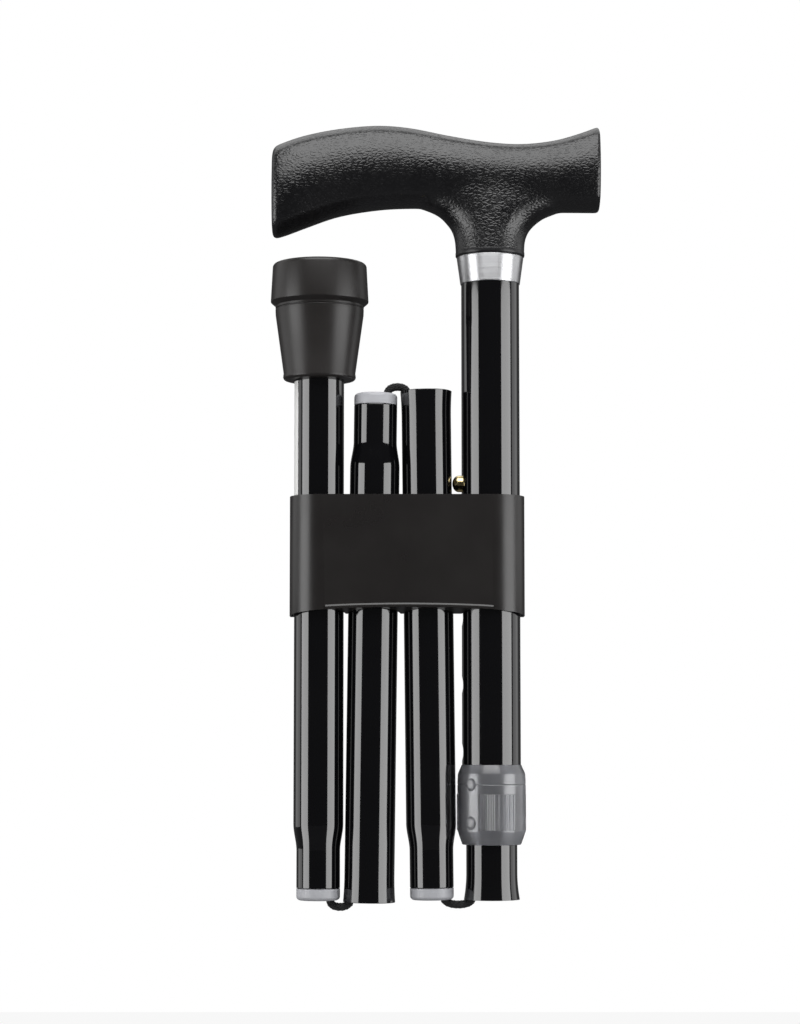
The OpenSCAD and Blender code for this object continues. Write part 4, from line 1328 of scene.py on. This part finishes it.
def strand_points(path, start_turn, hand):
    """One strand of the braid: it winds round the path and weaves over and under the other hand's."""
    side = Vector((0, 1, 0))
    points = []
    for k, point in enumerate(path):
        ahead = (path[min(k + 1, len(path) - 1)] - path[max(k - 1, 0)]).normalized()
        out = side.cross(ahead)
        wound = 2 * math.pi * k * STEP_MM / LAY_MM
        weave = math.cos(wound * STRANDS)
        r = CORD_R - STRAND_R - STRAND_LIFT + hand * STRAND_LIFT * weave
        angle = start_turn + hand * wound
        points.append(point + r * (math.cos(angle) * out + math.sin(angle) * side))
    return points


print("braid of", 2 * STRANDS, "strands, with one turn in", LAY_MM, "mm")


def tube_curve(name, routes, radius):
    """Round cords along several routes, as one mesh."""
    data = bpy.data.curves.new(name, "CURVE")
    data.dimensions = "3D"
    data.bevel_depth = radius * MM
    data.bevel_resolution = 1
    data.use_fill_caps = True
    for route in routes:
        spline = data.splines.new("POLY")
        spline.points.add(len(route) - 1)
        for spot, point in zip(spline.points, route):
            spot.co = (*(point * MM), 1)
    piece = bpy.data.objects.new(name, data)
    bpy.context.scene.collection.objects.link(piece)
    activate(piece)
    bpy.ops.object.convert(target="MESH")
    return bpy.context.object


def braid(name, path):
    """A braided cord along a path: a core and two hands of strands."""
    path = even_steps(path, STEP_MM)
    turns = [2 * math.pi * k / STRANDS for k in range(STRANDS)]
    strands = [strand_points(path, t, hand) for hand in (1, -1) for t in turns]
    piece = tube_curve(name, strands, STRAND_R)
    join(piece, tube_curve(name + "_core", [path], CORD_R - 2 * STRAND_R))
    bpy.ops.object.shade_smooth()
    return piece


for number, (path, carrier, anchor) in loop_paths.items():
    loop = braid("elastic_loop_" + number, path)
    dress(loop, elastic_yarn, "cord_black", carrier, "cord_loop_" + number)
    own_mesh(loop)

# %% [markdown]
# ## The elastic inside the tubes
# Between the folds the elastic runs straight down the middle of each tube. It could be braided too, but it
# is seldom seen, so a plain round cord does. Each run stops short of the stretch where the next section's
# plug seats.

# %% Straight runs
PLUG_ROOM = 27.0
ANCHOR_ROOM = 6.0
up_shaft = Vector((0, 0, 1))
inner_mouth = end_middle("inner_tube", False)
inner_anchor = Vector((inner_mouth.x, 0, box_mm("upper_cord_anchor")[1].z))
runs = {"1": ("inner", inner_mouth + up_shaft * PLUG_ROOM, inner_anchor)}
for number, (start, along) in section_axes.items():
    far_room = ANCHOR_ROOM if number == "4" else PLUG_ROOM
    runs[number] = ("section_" + number, start + along * PLUG_ROOM, section_ends[number] - along * far_room)
for number, (carrier, first, last) in runs.items():
    run = tube_curve("elastic_run_" + number, [[first, last]], CORD_R)
    bpy.ops.object.shade_smooth_by_angle(angle=math.radians(40))
    dress(run, elastic_yarn, "cord_black", carrier, "cord_run_" + number)

# %% [markdown]
# ## The leaf spring
# A bent strip of spring steel stands in the lower tube and pushes the button out. Its solid has the right
# shape, but it would slide through the tube with the button. So a copy of it, with its loose triangles
# joined, stays on the tube.

# %% Leaf spring
WELD_MM = 0.001
spring = bpy.data.objects.new("leaf_spring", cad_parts["button_spring"].data.copy())
bpy.context.scene.collection.objects.link(spring)
edit_all(spring)
bpy.ops.mesh.remove_doubles(threshold=WELD_MM * MM)
bpy.ops.object.mode_set(mode="OBJECT")
dress(spring, spring_metal, "spring_steel", "inner", "button_spring")
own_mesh(spring)

# %% [markdown]
# ## The pieces that stay as they are
# The solids that are left lie inside the tubes and the nut, apart from the label, which is a plain film
# on the fourth section. They could be modelled again, but their shapes are right as they are, so they
# only get their finishes.

# %% Finishes of the pieces that stay
KEPT_FINISHES = {
    "collet": collet_plastic, "glide_bush": glide_plastic, "upper_cord_anchor": anchor_plastic,
    "lower_cord_anchor": anchor_plastic, "tip_washer": washer_metal, "label": label_film}
for node, finish in KEPT_FINISHES.items():
    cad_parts[node].data.materials.clear()
    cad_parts[node].data.materials.append(finish)
print("dressed", len(dressed), "new pieces, finished", len(KEPT_FINISHES), "solids that keep their shape")
